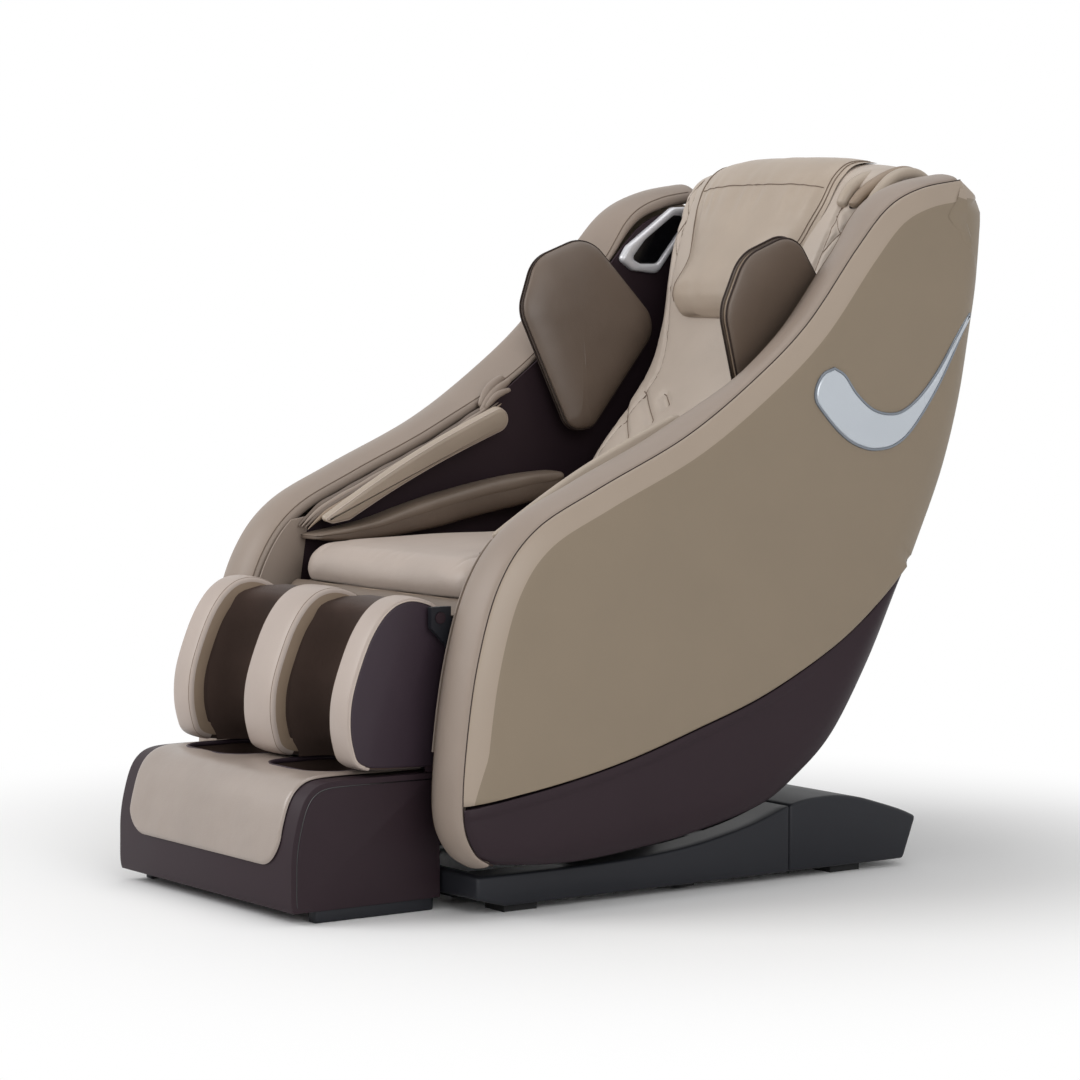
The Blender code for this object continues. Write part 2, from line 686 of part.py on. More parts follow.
def shoulder_pad(name, side):
    outline = rounded([(0.004, 0.172, 0.060), (-0.132, 0.014, 0.055), (-0.012, -0.176, 0.045),
                       (0.060, -0.146, 0.045), (0.126, 0.074, 0.050)], 4)
    layers = [(0.060, -0.022), (0.020, -0.020), (0.002, -0.013), (0.000, -0.006),
              (0.006, 0.000), (0.000, 0.006), (0.002, 0.014), (0.020, 0.024), (0.060, 0.028)]
    return cushion(name, outline, layers, shoulder_place(side), BROWN_LEATHER)


# ---------------------------------------------------------------- side shells


def seam_line():
    """The seam, as the rim and the panels share it, with a point at the split."""
    fine = smooth(SEAM_LINE, 120)
    count = sum(1 for p in fine if p.y < SPLIT_FRONT_Z)
    low, high = fine[count - 1], fine[count]
    corner = low.lerp(high, (SPLIT_FRONT_Z - low.y) / (high.y - low.y))
    return sparse(fine[:count] + [corner], 0.0008), sparse([corner] + fine[count:], 0.0008)


def rear_line(low_z, high_z, count):
    return even([p for p in smooth(REAR_LINE, 90) if low_z <= p.y <= high_z], count)


def split_line(lift, first, count):
    """The split between the two panels, from its first used point to the rear."""
    return even([p + Vector((0, lift)) for p in smooth(SPLIT_LINE, 40)[first:-1]], count)


def away(point, line):
    """Distance from a point to a polyline."""
    nearest = []
    for a, b in zip(line, line[1:]):
        along = b - a
        share = max(0.0, min(1.0, (point - a).dot(along) / along.length_squared))
        nearest.append((a + along * share - point).length)
    return min(nearest)


def panel_point(point, seam, rear, turn_in):
    """The point on the side's skin, rounded in at the seam and the rear edge."""
    to_seam = 1 - min(1.0, away(point, seam) / ROLL_WIDTH)
    to_rear = 1 - min(1.0, away(point, rear) / 0.028)
    x = FACE_X - max((FACE_X - SEAM_X) * to_seam ** 2, turn_in * to_rear ** 2)
    return Vector((x, point.x, point.y))


def side_panel(name):
    """Satin panel from the seam to the rear edge, rounded in at the front."""
    below, above = seam_line()
    front = [above[0] + Vector((0, 0.002))] + above[1:]
    share = round(len(front) * 0.58)
    back = split_line(0.002, 3, share) + rear_line(SPLIT_REAR_Z + 0.004, 2.0,
                                                   len(front) - share)
    seam, rear = below + above[1:], rear_line(0.0, 2.0, 24)
    rows = []
    for start, end in zip(front, back):
        span = (end - start).length
        along = [0.0, 0.007, 0.020, 0.038, 0.060, span * 0.55, span - 0.022, span]
        if span < 0.120:
            along = [span * step / 7 for step in range(8)]
        rows.append([panel_point(start.lerp(end, reach / span), seam, rear, 0.005)
                     for reach in along])
    return sheet(name, rows, SKIN, TAUPE_PANEL)


def lower_panel(name):
    """Dark panel below the split, bounded in front by the seam."""
    below, above = seam_line()
    edge = list(reversed(below))
    edge[0] = edge[0] - Vector((0, 0.002))
    lengths = [sum((b - a).length for a, b in zip(edge, edge[1:index + 1]))
               for index in range(len(edge))]
    shares = [length / lengths[-1] for length in lengths]
    top_line = split_line(-0.002, 0, 16)
    bottom_line = rear_line(0.0, SPLIT_REAR_Z - 0.004, 16)
    seam, rear = below + above[1:], rear_line(0.0, 2.0, 24)
    rows = []
    for index, (top, bottom) in enumerate(zip(top_line, bottom_line)):
        pull = max(0.0, 1 - index / 4)
        row = []
        for share, corner in zip(shares, edge):
            bend = (corner - edge[0].lerp(edge[-1], share)) * pull
            row.append(panel_point(top.lerp(bottom, share) + bend, seam, rear, 0.010))
        rows.append(row)
    return sheet(name, rows, SKIN, DARK_PANEL)


def rim_sections(line, inner_lift):
    """Sections of the padded rim: crowned outside, hollowed behind."""
    sections = []
    inner = offset(line, inner_lift)
    for seam, crest in zip(line, inner):
        out = (crest - seam).normalized()

        def at(x, lift):
            point = seam + out * lift
            return Vector((x, point.x, point.y))

        flat = max(0.0, min(1.0, (seam.y - 0.72) / 0.12, (1.12 - seam.y) / 0.10))
        sections.append([
            at(SEAM_X - 0.0090, -0.0020), at(SEAM_X - 0.0010, 0.0010), at(SEAM_X - 0.0120, 0.0075),
            at(SEAM_X - 0.0380, 0.0120 - 0.007 * flat), at(RIM_X + 0.030, 0.0105 - 0.015 * flat),
            at(RIM_X + 0.010, 0.0025 - 0.017 * flat), at(RIM_X, -0.0080 - 0.014 * flat),
            at(RIM_X + 0.001, -0.0180 - 0.009 * flat), at(RIM_X + 0.012, -0.0240 - 0.009 * flat),
            at(SEAM_X - 0.012, -0.0240)])
    return sections


def rim(name):
    below, above = seam_line()
    return loft(name, rim_sections(below + above[1:], 0.020), RIM_LEATHER)


def inner_liner(name):
    """Flat inner wall inside the rim, from the floor of the shell to its top."""
    below, above = seam_line()
    front = offset(below + above[1:], -0.027)
    rear = offset(rear_line(0.0, 2.0, 24), 0.022)
    outline = [p for p in front if p.y > 0.098] + [p for p in reversed(rear) if p.y > 0.098
                                                   and p.x > -0.30]
    return extrude(name, outline, LINER_X, LINER_X + 0.005, DARK_PANEL)


TRIM_LINE = [(0.302, 0.833), (0.279, 0.824), (0.264, 0.804), (0.262, 0.780), (0.280, 0.757),
             (0.308, 0.730), (0.335, 0.711), (0.363, 0.700), (0.391, 0.696), (0.429, 0.702),
             (0.466, 0.726), (0.513, 0.782), (0.551, 0.839), (0.575, 0.879), (0.588, 0.903),
             (0.591, 0.919), (0.565, 0.882), (0.523, 0.826), (0.485, 0.787), (0.447, 0.762),
             (0.414, 0.758), (0.381, 0.767), (0.349, 0.792), (0.325, 0.821)]


def side_trim(name):
    outline = smooth(TRIM_LINE + TRIM_LINE[:1], 48)[:-1]
    return extrude(name, outline, FACE_X + GAP, FACE_X + 0.004, SILVER)


def speaker(name):
    """Speaker beside the head: a bevelled frame with a sunk grille."""
    outline = rounded([(0.396, 1.010, 0.008), (0.412, 1.034, 0.012), (0.512, 1.104, 0.020),
                       (0.576, 1.107, 0.014), (0.478, 0.985, 0.018), (0.424, 0.991, 0.010)], 3)
    window = rounded([(0.422, 1.012, 0.006), (0.514, 1.087, 0.010), (0.548, 1.089, 0.008),
                      (0.474, 1.003, 0.010)], 3)
    bezel = extrude(name, outline, LINER_X - 0.012, LINER_X - GAP, SILVER)
    return cut(bezel, extrude("window", window, LINER_X - 0.020, LINER_X - 0.004, SILVER))


def side_shells():
    both_sides("side_panel", side_panel)
    both_sides("lower_panel", lower_panel)
    both_sides("rim", rim)
    both_sides("inner_liner", inner_liner)
    both_sides("side_trim", side_trim)
    both_sides("speaker", speaker)


def rear_cover():
    """Curved plate that closes the back between the two side shells."""
    line = offset(rear_line(0.245, 2.0, 20), 0.014)
    inner = offset(line, 0.005)
    outline = line + list(reversed(inner))
    extrude("rear_cover", outline, -(SEAM_X - 0.002), SEAM_X - 0.002, DARK_PANEL)


# ---------------------------------------------------------------- arm pads


def arm_roll(name):
    """Padded roll on the liner, just inside the rim."""
    line = offset(even(smooth(SEAM_LINE, 90), 60), -0.015)
    line = even([p for p in line if p.y > 0.470 and p.x < 0.110], 13)
    sections = []
    for point, crest in zip(line, offset(line, 0.012)):
        ring = []
        for step in range(10):
            angle = 2 * math.pi * step / 10
            spot = point.lerp(crest, math.sin(angle))
            x = LINER_X - GAP - 0.018 - 0.018 * math.cos(angle)
            ring.append(Vector((x, spot.x, spot.y)))
        sections.append(ring)
    return loft(name, sections, BROWN_LEATHER)


ARM_HINGE = ((-0.256, 0.574), (0.112, 0.760))   # front and rear end of the upper pad's hinge


def arm_airbag(name):
    """Upper arm pad: a long flap that swings down on the forearm."""
    start, end = (Vector(p) for p in ARM_HINGE)
    along = (end - start).normalized()
    drop = Vector((along.y, -along.x))
    length = (end - start).length
    outline = rounded([(0.0, 0.0, 0.005), (length, 0.0, 0.022), (length + 0.010, 0.048, 0.022),
                       (0.052, 0.035, 0.020), (0.018, 0.020, 0.008)], 4)
    place = Matrix.Identity(4)
    place.col[0] = (0, along.x, along.y, 0)
    place.col[1] = (0.30, drop.x * 0.954, drop.y * 0.954, 0)
    place.col[2] = (-0.954, drop.x * 0.30, drop.y * 0.30, 0)
    place.col[3] = (0.244, start.x, start.y, 1)
    layers = [(0.012, -0.010), (0.002, -0.006), (0.000, 0.000), (0.003, 0.006), (0.014, 0.010)]
    return cushion(name, outline, layers, place, BEIGE_LEATHER)


def arm_pad(name):
    """Lower arm pad, which the forearm lies on."""
    top = smooth([(-0.270, 0.550), (-0.160, 0.567), (-0.055, 0.597), (0.060, 0.620),
                  (0.180, 0.634)], 10)
    bottom = smooth([(-0.270, 0.5365), (-0.158, 0.5355), (-0.041, 0.548), (0.060, 0.566),
                     (0.180, 0.585)], 10)
    sections = []
    for crest, floor in zip(top, bottom):
        middle = (crest + floor) / 2
        rise = (crest.y - floor.y) / 2
        ring = []
        for step in range(12):
            angle = 2 * math.pi * step / 12
            c, s = math.cos(angle), math.sin(angle)
            x = LINER_X - GAP - 0.032 + 0.032 * math.copysign(abs(c) ** 0.6, c)
            ring.append(Vector((x, middle.x, middle.y + rise * math.copysign(abs(s) ** 0.7, s))))
        sections.append(ring)
    return loft(name, sections, BROWN_LEATHER)


# ---------------------------------------------------------------- massage mechanism


def massage_head():
    lean = Matrix.Rotation(-TRACK_LEAN, 4, "X")
    home = track_point(CARRIAGE_Z)
    place = Matrix.Translation((0, home.x, home.y)) @ lean

    def put(obj):
        obj.data.transform(place)
        return obj

    body = put(box("massage_carriage", (-0.100, -0.004, -0.028), (0.100, 0.030, 0.028),
                   PAINTED_STEEL))
    shoes = [put(box("shoe", (side * 0.112 - 0.016, -0.010, -0.024),
                     (side * 0.112 + 0.016, 0.008, 0.024), PAINTED_STEEL)) for side in (-1, 1)]
    lugs = [put(box("lug", (side * 0.030 - 0.004, -0.024, -0.008),
                    (side * 0.030 + 0.004, 0.000, 0.008), PAINTED_STEEL)) for side in (-1, 1)]
    body = fuse(body, *shoes, *lugs)
    bore = put(rod("bore", (-0.05, -0.018, 0), (0.05, -0.018, 0), 0.0032 + GAP, PAINTED_STEEL,
                   12))
    cut(body, bore)
    for side, word in ((1, "left"), (-1, "right")):
        arm = put(box(f"knead_arm_{word}", (side * 0.0405 - 0.004, -0.0235, -0.066),
                      (side * 0.0405 + 0.004, -0.0125, 0.066), BRIGHT_STEEL))
        pin = put(rod("pin", (side * 0.022, -0.018, 0), (side * 0.040, -0.018, 0), 0.0032,
                      BRIGHT_STEEL, 12))
        axles = [put(rod("axle", (side * 0.040, -0.018, z), (side * 0.074, -0.018, z), 0.004,
                         BRIGHT_STEEL, 12)) for z in (-0.056, 0.056)]
        fuse(arm, pin, *axles)
        for z, level in ((0.056, "upper"), (-0.056, "lower")):
            roller = put(rod(f"roller_{level}_{word}", (side * 0.0465, -0.018, z),
                             (side * 0.0715, -0.018, z), ROLLER_RADIUS, NYLON, 16))
            bevel(roller, 0.006, 1)
            roller = settle(roller)
            bore = put(rod("bore", (side * 0.040, -0.018, z), (side * 0.080, -0.018, z),
                           0.004 + GAP, NYLON, 12))
            cut(roller, bore)


# ---------------------------------------------------------------- calf rest


def fin_outline():
    """Side outline of a calf fin: full in front, round over the top."""
    front = smooth([(-0.505, 0.2355), (-0.523, 0.254), (-0.5295, 0.292), (-0.523, 0.345),
                    (-0.497, 0.416), (-0.472, 0.457), (-0.445, 0.479), (-0.418, 0.487),
                    (-0.392, 0.476)], 16)
    return [Vector(p) for p in ((CALF_REAR_Y, 0.462), (CALF_REAR_Y, 0.2335))] + front


def calf_rest():
    inner = CALF_HALF - FIN_WIDTH
    outline = fin_outline()
    both_sides("calf_fin", lambda name: extrude(name, outline, inner, CALF_HALF, BEIGE_LEATHER,
                                                edge=0.007))
    extrude("calf_fin_middle", outline, -MID_FIN_HALF, MID_FIN_HALF, BEIGE_LEATHER, edge=0.007)
    both_sides("calf_pad", calf_pad)
    line = [Vector(p) for p in ((-CALF_HALF, CALF_REAR_Y + GAP), (CALF_HALF, CALF_REAR_Y + GAP),
                                (CALF_HALF, -0.351), (-CALF_HALF, -0.351))]
    shell = extrude("calf_shell", line, 0.216, 0.438, DARK_PANEL, plane="XY")
    hollow = box("hollow", (-CALF_HALF + SKIN, CALF_REAR_Y - 0.01, 0.20),
                 (CALF_HALF - SKIN, -0.357, 0.50), DARK_PANEL)
    slot = box("slot", (-0.024, -0.365, 0.330), (0.024, -0.340, 0.392), DARK_PANEL)
    shell = cut(shell, hollow, slot)
    pieces = [rod("shaft", (-0.289, *CALF_PIVOT), (0.289, *CALF_PIVOT), 0.009, BRIGHT_STEEL,
                  16)]
    for side in (1, -1):
        pieces.append(box("strap", (side * 0.205 - 0.012, -0.3640, 0.250),
                          (side * 0.205 + 0.012, -0.3560, 0.455), BRIGHT_STEEL))
        ear = [Vector(p) for p in ((-0.3625, 0.345), (-0.3625, 0.375), (-0.318, 0.373),
                                   (-0.306, 0.360), (-0.318, 0.347))]
        pieces.append(extrude("ear", ear, side * 0.018 - 0.002, side * 0.018 + 0.002,
                              BRIGHT_STEEL))
    pieces.append(box("tie", (-0.205, -0.3625, 0.352), (0.205, -0.3575, 0.368), BRIGHT_STEEL))
    fuse(shell, *pieces)


def fin_front(z):
    """How far forward the fins reach at a height."""
    line = [p for p in fin_outline()[2:]]
    for low, high in zip(line, line[1:]):
        if low.y <= z <= high.y:
            return low.lerp(high, (z - low.y) / (high.y - low.y)).x
    return line[0].x


def calf_pad(name):
    """Padded trough between two fins, hollowed for the calf."""
    low, high = MID_FIN_HALF + GAP, CALF_HALF - FIN_WIDTH - GAP
    middle, half = (low + high) / 2, (high - low) / 2
    rear = CALF_REAR_Y - 0.001
    sections = []
    for z in (0.236, 0.250, 0.300, 0.360, 0.410, 0.445, 0.462):
        lip = min(fin_front(z) + 0.024, rear - 0.012)
        deep = min(lip + 0.072, rear - 0.010)
        ring = [Vector((high, rear, z)), Vector((low, rear, z)), Vector((low, lip, z))]
        for step in range(9):
            angle = math.pi * step / 8
            x = middle - (half - 0.006) * math.cos(angle)
            ring.append(Vector((x, lip + (deep - lip) * math.sin(angle) ** 0.7, z)))
        ring.append(Vector((high, lip, z)))
        sections.append(ring)
    return loft(name, sections, BROWN_FABRIC, hollowed=True)


def calf_actuator():
    """Screw actuator that pushes the calf rest up."""
    rear, front = Vector(PUSH_PIVOT), Vector(CALF_PUSH)
    along = (front - rear).normalized()

    def spot(distance):
        point = rear + along * distance
        return (0.0, point.x, point.y)

    body = rod("calf_motor", spot(0.022), spot(0.235), 0.019, PAINTED_STEEL)
    tail = rod("tail", spot(-0.010), spot(0.030), 0.008, PAINTED_STEEL, 12)
    pivot = rod("pivot", (-0.034, *PUSH_PIVOT), (0.034, *PUSH_PIVOT), 0.006, PAINTED_STEEL, 16)
    body = fuse(body, tail, pivot)
    cut(body, rod("bore", spot(0.050), spot(0.260), 0.0085, PAINTED_STEEL, 16))
    screw = rod("calf_screw", spot(0.060), spot((front - rear).length - 0.006), 0.0080,
                BRIGHT_STEEL, 16)
    eye = rod("eye", (-0.011, *CALF_PUSH), (0.011, *CALF_PUSH), 0.010, BRIGHT_STEEL, 16)
    fuse(screw, eye)


# ---------------------------------------------------------------- foot rest


FOOT_SIDE = [(-0.622, 0.006, 0.004), (-0.6285, 0.030, 0.004), (-0.6275, 0.110, 0.050),
             (-0.612, 0.178, 0.040), (-0.585, FOOT_TOP, 0.028),
             (-0.360, FOOT_TOP - 0.002, 0.004), (-0.360, 0.006, 0.004)]


def foot_outline(inset, steps=4):
    corners = []
    centre = Vector((-0.495, 0.105))
    for y, z, radius in FOOT_SIDE:
        corners.append((y + inset * (1 if y < centre.x else -1),
                        z + inset * (1 if z < centre.y else -1), max(radius - inset, 0.002)))
    return rounded(corners, steps)


def well_outline(side, grow=0.0):
    return rectangle((side * WELL_X - WELL_HALF_X - grow, WELL_Y[0] - grow),
                     (side * WELL_X + WELL_HALF_X + grow, WELL_Y[1] + grow), 0.050 + grow, 5)


def foot_rest():
    shell = extrude("foot_shell", foot_outline(0), -FOOT_HALF, FOOT_HALF, DARK_PANEL)
    bevel(shell, 0.006)
    shell = settle(shell)
    hollow = extrude("hollow", foot_outline(SKIN), -FOOT_HALF + SKIN, FOOT_HALF - SKIN,
                     DARK_PANEL)
    mouth = box("mouth", (-FOOT_HALF + 0.012, -0.612, -0.02), (FOOT_HALF - 0.012, -0.366, 0.05),
                DARK_PANEL)
    holes = [extrude("hole", well_outline(side, 0.004), 0.15, 0.25, DARK_PANEL, plane="XY")
             for side in (1, -1)]
    holes += [rod("hole", (side * WELL_X, GUIDE_Y, 0.15), (side * WELL_X, GUIDE_Y, 0.25),
                  GUIDE_RADIUS + 0.0008, DARK_PANEL, 10) for side in (1, -1)]
    cut(shell, hollow, mouth, *holes)
    foot_tray()
    foot_cover()
    for side, word in ((1, "left"), (-1, "right")):
        roller = rod(f"sole_roller_{word}", (side * WELL_X - 0.060, -0.470, 0.068),
                     (side * WELL_X + 0.060, -0.470, 0.068), 0.016, NYLON, 14)
        stub = rod("stub", (side * WELL_X - 0.0785, -0.470, 0.068),
                   (side * WELL_X + 0.0785, -0.470, 0.068), 0.005, NYLON, 8)
        ribs = [rod("rib", (side * WELL_X + shift - 0.006, -0.470, 0.068),
                    (side * WELL_X + shift + 0.006, -0.470, 0.068), 0.021, NYLON, 14)
                for shift in (-0.030, 0.030)]
        fuse(roller, stub, *ribs)


def foot_tray():
    """Floor plate with the two open wells and the guide tubes of the extension."""
    plate = box("foot_tray", (-FOOT_HALF + 0.0125, -0.6115, 0.0065),
                (FOOT_HALF - 0.0125, -0.3665, 0.0125), BROWN_FABRIC)
    outer = []
    inner = []
    for side in (1, -1):
        outer.append(extrude("well", well_outline(side, 0.003), 0.0100, FOOT_TOP - 0.0065,
                             BROWN_FABRIC, plane="XY"))
        inner.append(extrude("inner", well_outline(side, -0.001), 0.040, 0.30, BROWN_FABRIC,
                             plane="XY"))
        outer.append(rod("guide", (side * WELL_X, GUIDE_Y, 0.010),
                         (side * WELL_X, GUIDE_Y, 0.435), GUIDE_RADIUS, BROWN_FABRIC, 10))
    fuse(plate, *outer)
    cut(bpy.data.objects["foot_tray"], *inner)


def foot_cover():
    """Leather over the front and top of the foot rest, open at the two wells."""
    path = [p for p in foot_outline(-0.0005) if p.y > 0.100 and p.x < -0.372]
    path.sort(key=lambda p: (p.x > -0.60, p.y if p.x < -0.60 else p.x))
    path = [Vector((-0.6283, 0.084))] + path + [Vector((-0.372, FOOT_TOP - 0.0012))]
    outer = offset(path, 0.004)
    outline = path + list(reversed(outer))
    cover = extrude("foot_cover", outline, -FOOT_HALF + 0.045, FOOT_HALF - 0.045, BEIGE_LEATHER)
    holes = [extrude("hole", well_outline(side), 0.15, 0.30, BEIGE_LEATHER, plane="XY")
             for side in (1, -1)]
    rear = box("rear", (-0.4, -0.395, 0.15), (0.4, -0.30, 0.30), BEIGE_LEATHER)
    cut(cover, rear, *holes)


# ---------------------------------------------------------------- assembly


def joint_empty(name, place, parent=None):
    empty = bpy.data.objects.new(name, None)
    empty.location = place
    empty.empty_display_size = 0.04
    PARTS.objects.link(empty)
    bpy.context.view_layer.update()
    if parent:
        empty.parent = parent
        empty.matrix_parent_inverse = parent.matrix_world.inverted()
    return empty


def hang(empty, *names):
    bpy.context.view_layer.update()
    for name in names:
        piece = bpy.data.objects[name]
        piece.parent = empty
        piece.matrix_parent_inverse = empty.matrix_world.inverted()


def assemble():
    """Hang every moving piece on an empty at its joint."""
    carriage_joint = joint_empty("carriage_slide", (0, 0, 0.046))
    hang(carriage_joint, "carriage_frame")
    hang(joint_empty("link_pivot", (0, *LINK_FOOT)), "tilt_link")
    hang(joint_empty("switch_pivot", (-0.214, 0.516, 0.048)), "power_switch")
    body = joint_empty("tilt_pivot", (0, *TILT_PIVOT), carriage_joint)
    stems = ("seat_", "back_", "side_", "lower_", "rim_", "inner_", "speaker_", "rear_cover",
             "arm_roll", "arm_pad")
    hang(body, *[o.name for o in PARTS.objects if o.name.startswith(stems)])
    hang(joint_empty("pillow_hinge", (0, *PILLOW_HINGE), body), "head_pillow")
    for side, word in ((1, "left"), (-1, "right")):
        hang(joint_empty(f"arm_hinge_{word}", (side * 0.250, *ARM_HINGE[0]), body),
             f"arm_airbag_{word}")
        hang(joint_empty(f"shoulder_hinge_{word}", (side * SHOULDER_HINGE[0], *SHOULDER_HINGE[1:]),
                         body),
             f"shoulder_pad_{word}")
    home = track_point(CARRIAGE_Z, 0.018)
    head = joint_empty("massage_slide", (0, home.x, home.y), body)
    hang(head, "massage_carriage")
    for word in ("left", "right"):
        arm = joint_empty(f"knead_pivot_{word}", (0, home.x, home.y), head)
        hang(arm, f"knead_arm_{word}")
        for level, shift in (("upper", 0.056), ("lower", -0.056)):
            axle = home + shift * Vector((math.sin(TRACK_LEAN), math.cos(TRACK_LEAN)))
            hang(joint_empty(f"roller_axle_{level}_{word}", (0, axle.x, axle.y), arm),
                 f"roller_{level}_{word}")
    calf = joint_empty("calf_pivot", (0, *CALF_PIVOT), body)
    hang(calf, *[o.name for o in PARTS.objects if o.name.startswith("calf_")
                 and o.name not in ("calf_motor", "calf_screw", "calf_pivot")])
    motor = joint_empty("push_pivot", (0, *PUSH_PIVOT), body)
    hang(motor, "calf_motor")
    hang(joint_empty("push_slide", (0, *CALF_PUSH), motor), "calf_screw")
    foot = joint_empty("foot_slide", (0, -0.50, 0.21), calf)
    hang(foot, "foot_shell", "foot_tray", "foot_cover")
    for word, side in (("left", 1), ("right", -1)):
        hang(joint_empty(f"sole_axle_{word}", (side * WELL_X, -0.470, 0.068), foot),
             f"sole_roller_{word}")


def main():
    base_front_cover()
    base_rear_cover()
    base_frame()
    base_details()
    carriage()
    tilt_link()
    seat_frame()
    seat_parts()
    back_frame()
    back_cushion()
    head_pillow()
    shoulder_pad("shoulder_pad_left", 1)
    shoulder_pad("shoulder_pad_right", -1)
    side_shells()
    rear_cover()
    both_sides("arm_roll", arm_roll)
    both_sides("arm_airbag", arm_airbag)
    both_sides("arm_pad", arm_pad)
    massage_head()
    calf_rest()
    calf_actuator()
    foot_rest()
    assemble()


main()
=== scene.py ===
"""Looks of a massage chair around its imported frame.

Metres, +Z up, the sitter faces -Y and +X is the sitter's left.  Side outlines are (y, z)
points of the left side, and pieces for the right side are their mirror images.
"""
import json
import math

import bmesh
import bpy
import numpy as np
from mathutils import Matrix, Vector, noise
from mathutils.bvhtree import BVHTree


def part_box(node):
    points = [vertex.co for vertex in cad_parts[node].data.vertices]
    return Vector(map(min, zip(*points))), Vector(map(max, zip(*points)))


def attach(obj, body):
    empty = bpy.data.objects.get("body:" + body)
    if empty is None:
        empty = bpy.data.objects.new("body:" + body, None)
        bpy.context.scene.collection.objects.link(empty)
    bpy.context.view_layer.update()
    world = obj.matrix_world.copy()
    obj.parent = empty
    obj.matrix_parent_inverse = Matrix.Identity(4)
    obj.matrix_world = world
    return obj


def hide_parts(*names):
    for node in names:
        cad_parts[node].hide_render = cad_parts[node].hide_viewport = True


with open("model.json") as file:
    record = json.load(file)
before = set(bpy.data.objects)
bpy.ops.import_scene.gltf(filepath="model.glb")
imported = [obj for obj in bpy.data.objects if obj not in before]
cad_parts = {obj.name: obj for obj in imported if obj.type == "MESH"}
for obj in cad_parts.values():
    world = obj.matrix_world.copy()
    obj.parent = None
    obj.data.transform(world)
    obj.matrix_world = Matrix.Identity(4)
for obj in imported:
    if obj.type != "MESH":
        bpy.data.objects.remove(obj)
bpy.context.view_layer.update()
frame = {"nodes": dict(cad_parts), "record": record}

# ---------------------------------------------------------------- sizes taken from the frame


def corner(node, end, axis):
    """One coordinate of a CAD node's box: end 0 is its low side, 1 its high side."""
    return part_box(node)[end][axis]


SEAM_X = corner("rim_left", 1, 0)               # outer edge of the rim, at the seam
FACE_X = corner("side_panel_left", 1, 0)        # flat face of the side panel
LINER_X = corner("inner_liner_left", 0, 0)
CALF_HALF = corner("calf_fin_left", 1, 0)
FIN_WIDTH = CALF_HALF - corner("calf_fin_left", 0, 0)
MID_FIN_HALF = corner("calf_fin_middle", 1, 0)
FOOT_HALF = corner("foot_shell", 1, 0)
FOOT_TOP = corner("foot_shell", 1, 2)
COVER_TOP = corner("foot_cover", 1, 2)
SEAT_LOW = corner("seat_cushion", 0, 2)
SEAT_HALF = corner("seat_cushion", 1, 0)
SEAT_FRONT = corner("seat_cushion", 0, 1)
SEAT_REAR = corner("seat_cushion", 1, 1)
BASE_HALF = corner("base_front_cover", 1, 0)
BASE_FRONT = corner("base_front_cover", 0, 1)
COVER_SPLIT = corner("base_rear_cover", 0, 1)
PILLOW_HALF = corner("head_pillow", 1, 0)

SIDES = ((1, "left"), (-1, "right"))
WHITE = (1, 1, 1, 1)

# The left side's outlines, front bottom to rear top.
SEAM_LINE = [(-0.350, 0.084), (-0.383, 0.106), (-0.403, 0.156), (-0.400, 0.250),
             (-0.378, 0.390), (-0.337, 0.512), (-0.270, 0.592), (-0.150, 0.652),
             (0.015, 0.726), (0.150, 0.812), (0.261, 0.902), (0.363, 1.022), (0.430, 1.090),
             (0.500, 1.122), (0.585, 1.137)]
REAR_LINE = [(-0.342, 0.083), (-0.200, 0.076), (-0.060, 0.088), (0.036, 0.102), (0.168, 0.134),
             (0.245, 0.178), (0.317, 0.240), (0.389, 0.348), (0.447, 0.458), (0.491, 0.546),
             (0.543, 0.660), (0.579, 0.775), (0.602, 0.890), (0.616, 0.975), (0.6281, 1.105)]
SPLIT_LINE = [(-0.403, 0.178), (-0.238, 0.201), (-0.107, 0.228), (0.027, 0.267), (0.166, 0.313),
              (0.308, 0.382), (0.402, 0.449), (0.478, 0.520)]
SPLIT_FRONT_Z = 0.178
SPLIT_REAR_Z = 0.520
SPLIT_GAP = 0.0012          # half the gap between side panel and lower panel

# ---------------------------------------------------------------- outlines


def spline(points, count):
    """Evenly spaced points on a Catmull-Rom curve through the given ones."""
    nodes = [Vector(p) for p in points]
    nodes = [2 * nodes[0] - nodes[1]] + nodes + [2 * nodes[-1] - nodes[-2]]
    fine = []
    for a, b, c, d in zip(nodes, nodes[1:], nodes[2:], nodes[3:]):
        for step in range(24):
            t = step / 24
            fine.append(0.5 * (2 * b + (c - a) * t + (2 * a - 5 * b + 4 * c - d) * t * t
                               + (3 * b - 3 * c + d - a) * t ** 3))
    fine.append(nodes[-2])
    return even(fine, count)


def even(points, count):
    lengths = [0.0]
    for a, b in zip(points, points[1:]):
        lengths.append(lengths[-1] + (b - a).length)
    result = []
    index = 0
    for step in range(count):
        target = lengths[-1] * step / (count - 1)
        while index < len(points) - 2 and lengths[index + 1] < target:
            index += 1
        span = lengths[index + 1] - lengths[index]
        share = (target - lengths[index]) / span if span else 0.0
        result.append(points[index].lerp(points[index + 1], min(1.0, share)))
    return result


def even_ring(outline, count):
    return even(outline + outline[:1], count + 1)[:-1]


def directions(points):
    """Unit direction of travel at each point of a line."""
    found = []
    for index in range(len(points)):
        step = points[min(index + 1, len(points) - 1)] - points[max(index - 1, 0)]
        found.append(step.normalized())
    return found


def left_of(points, distance):
    """A 2-D line moved to its left."""
    return [p + distance * Vector((-d.y, d.x)) for p, d in zip(points, directions(points))]


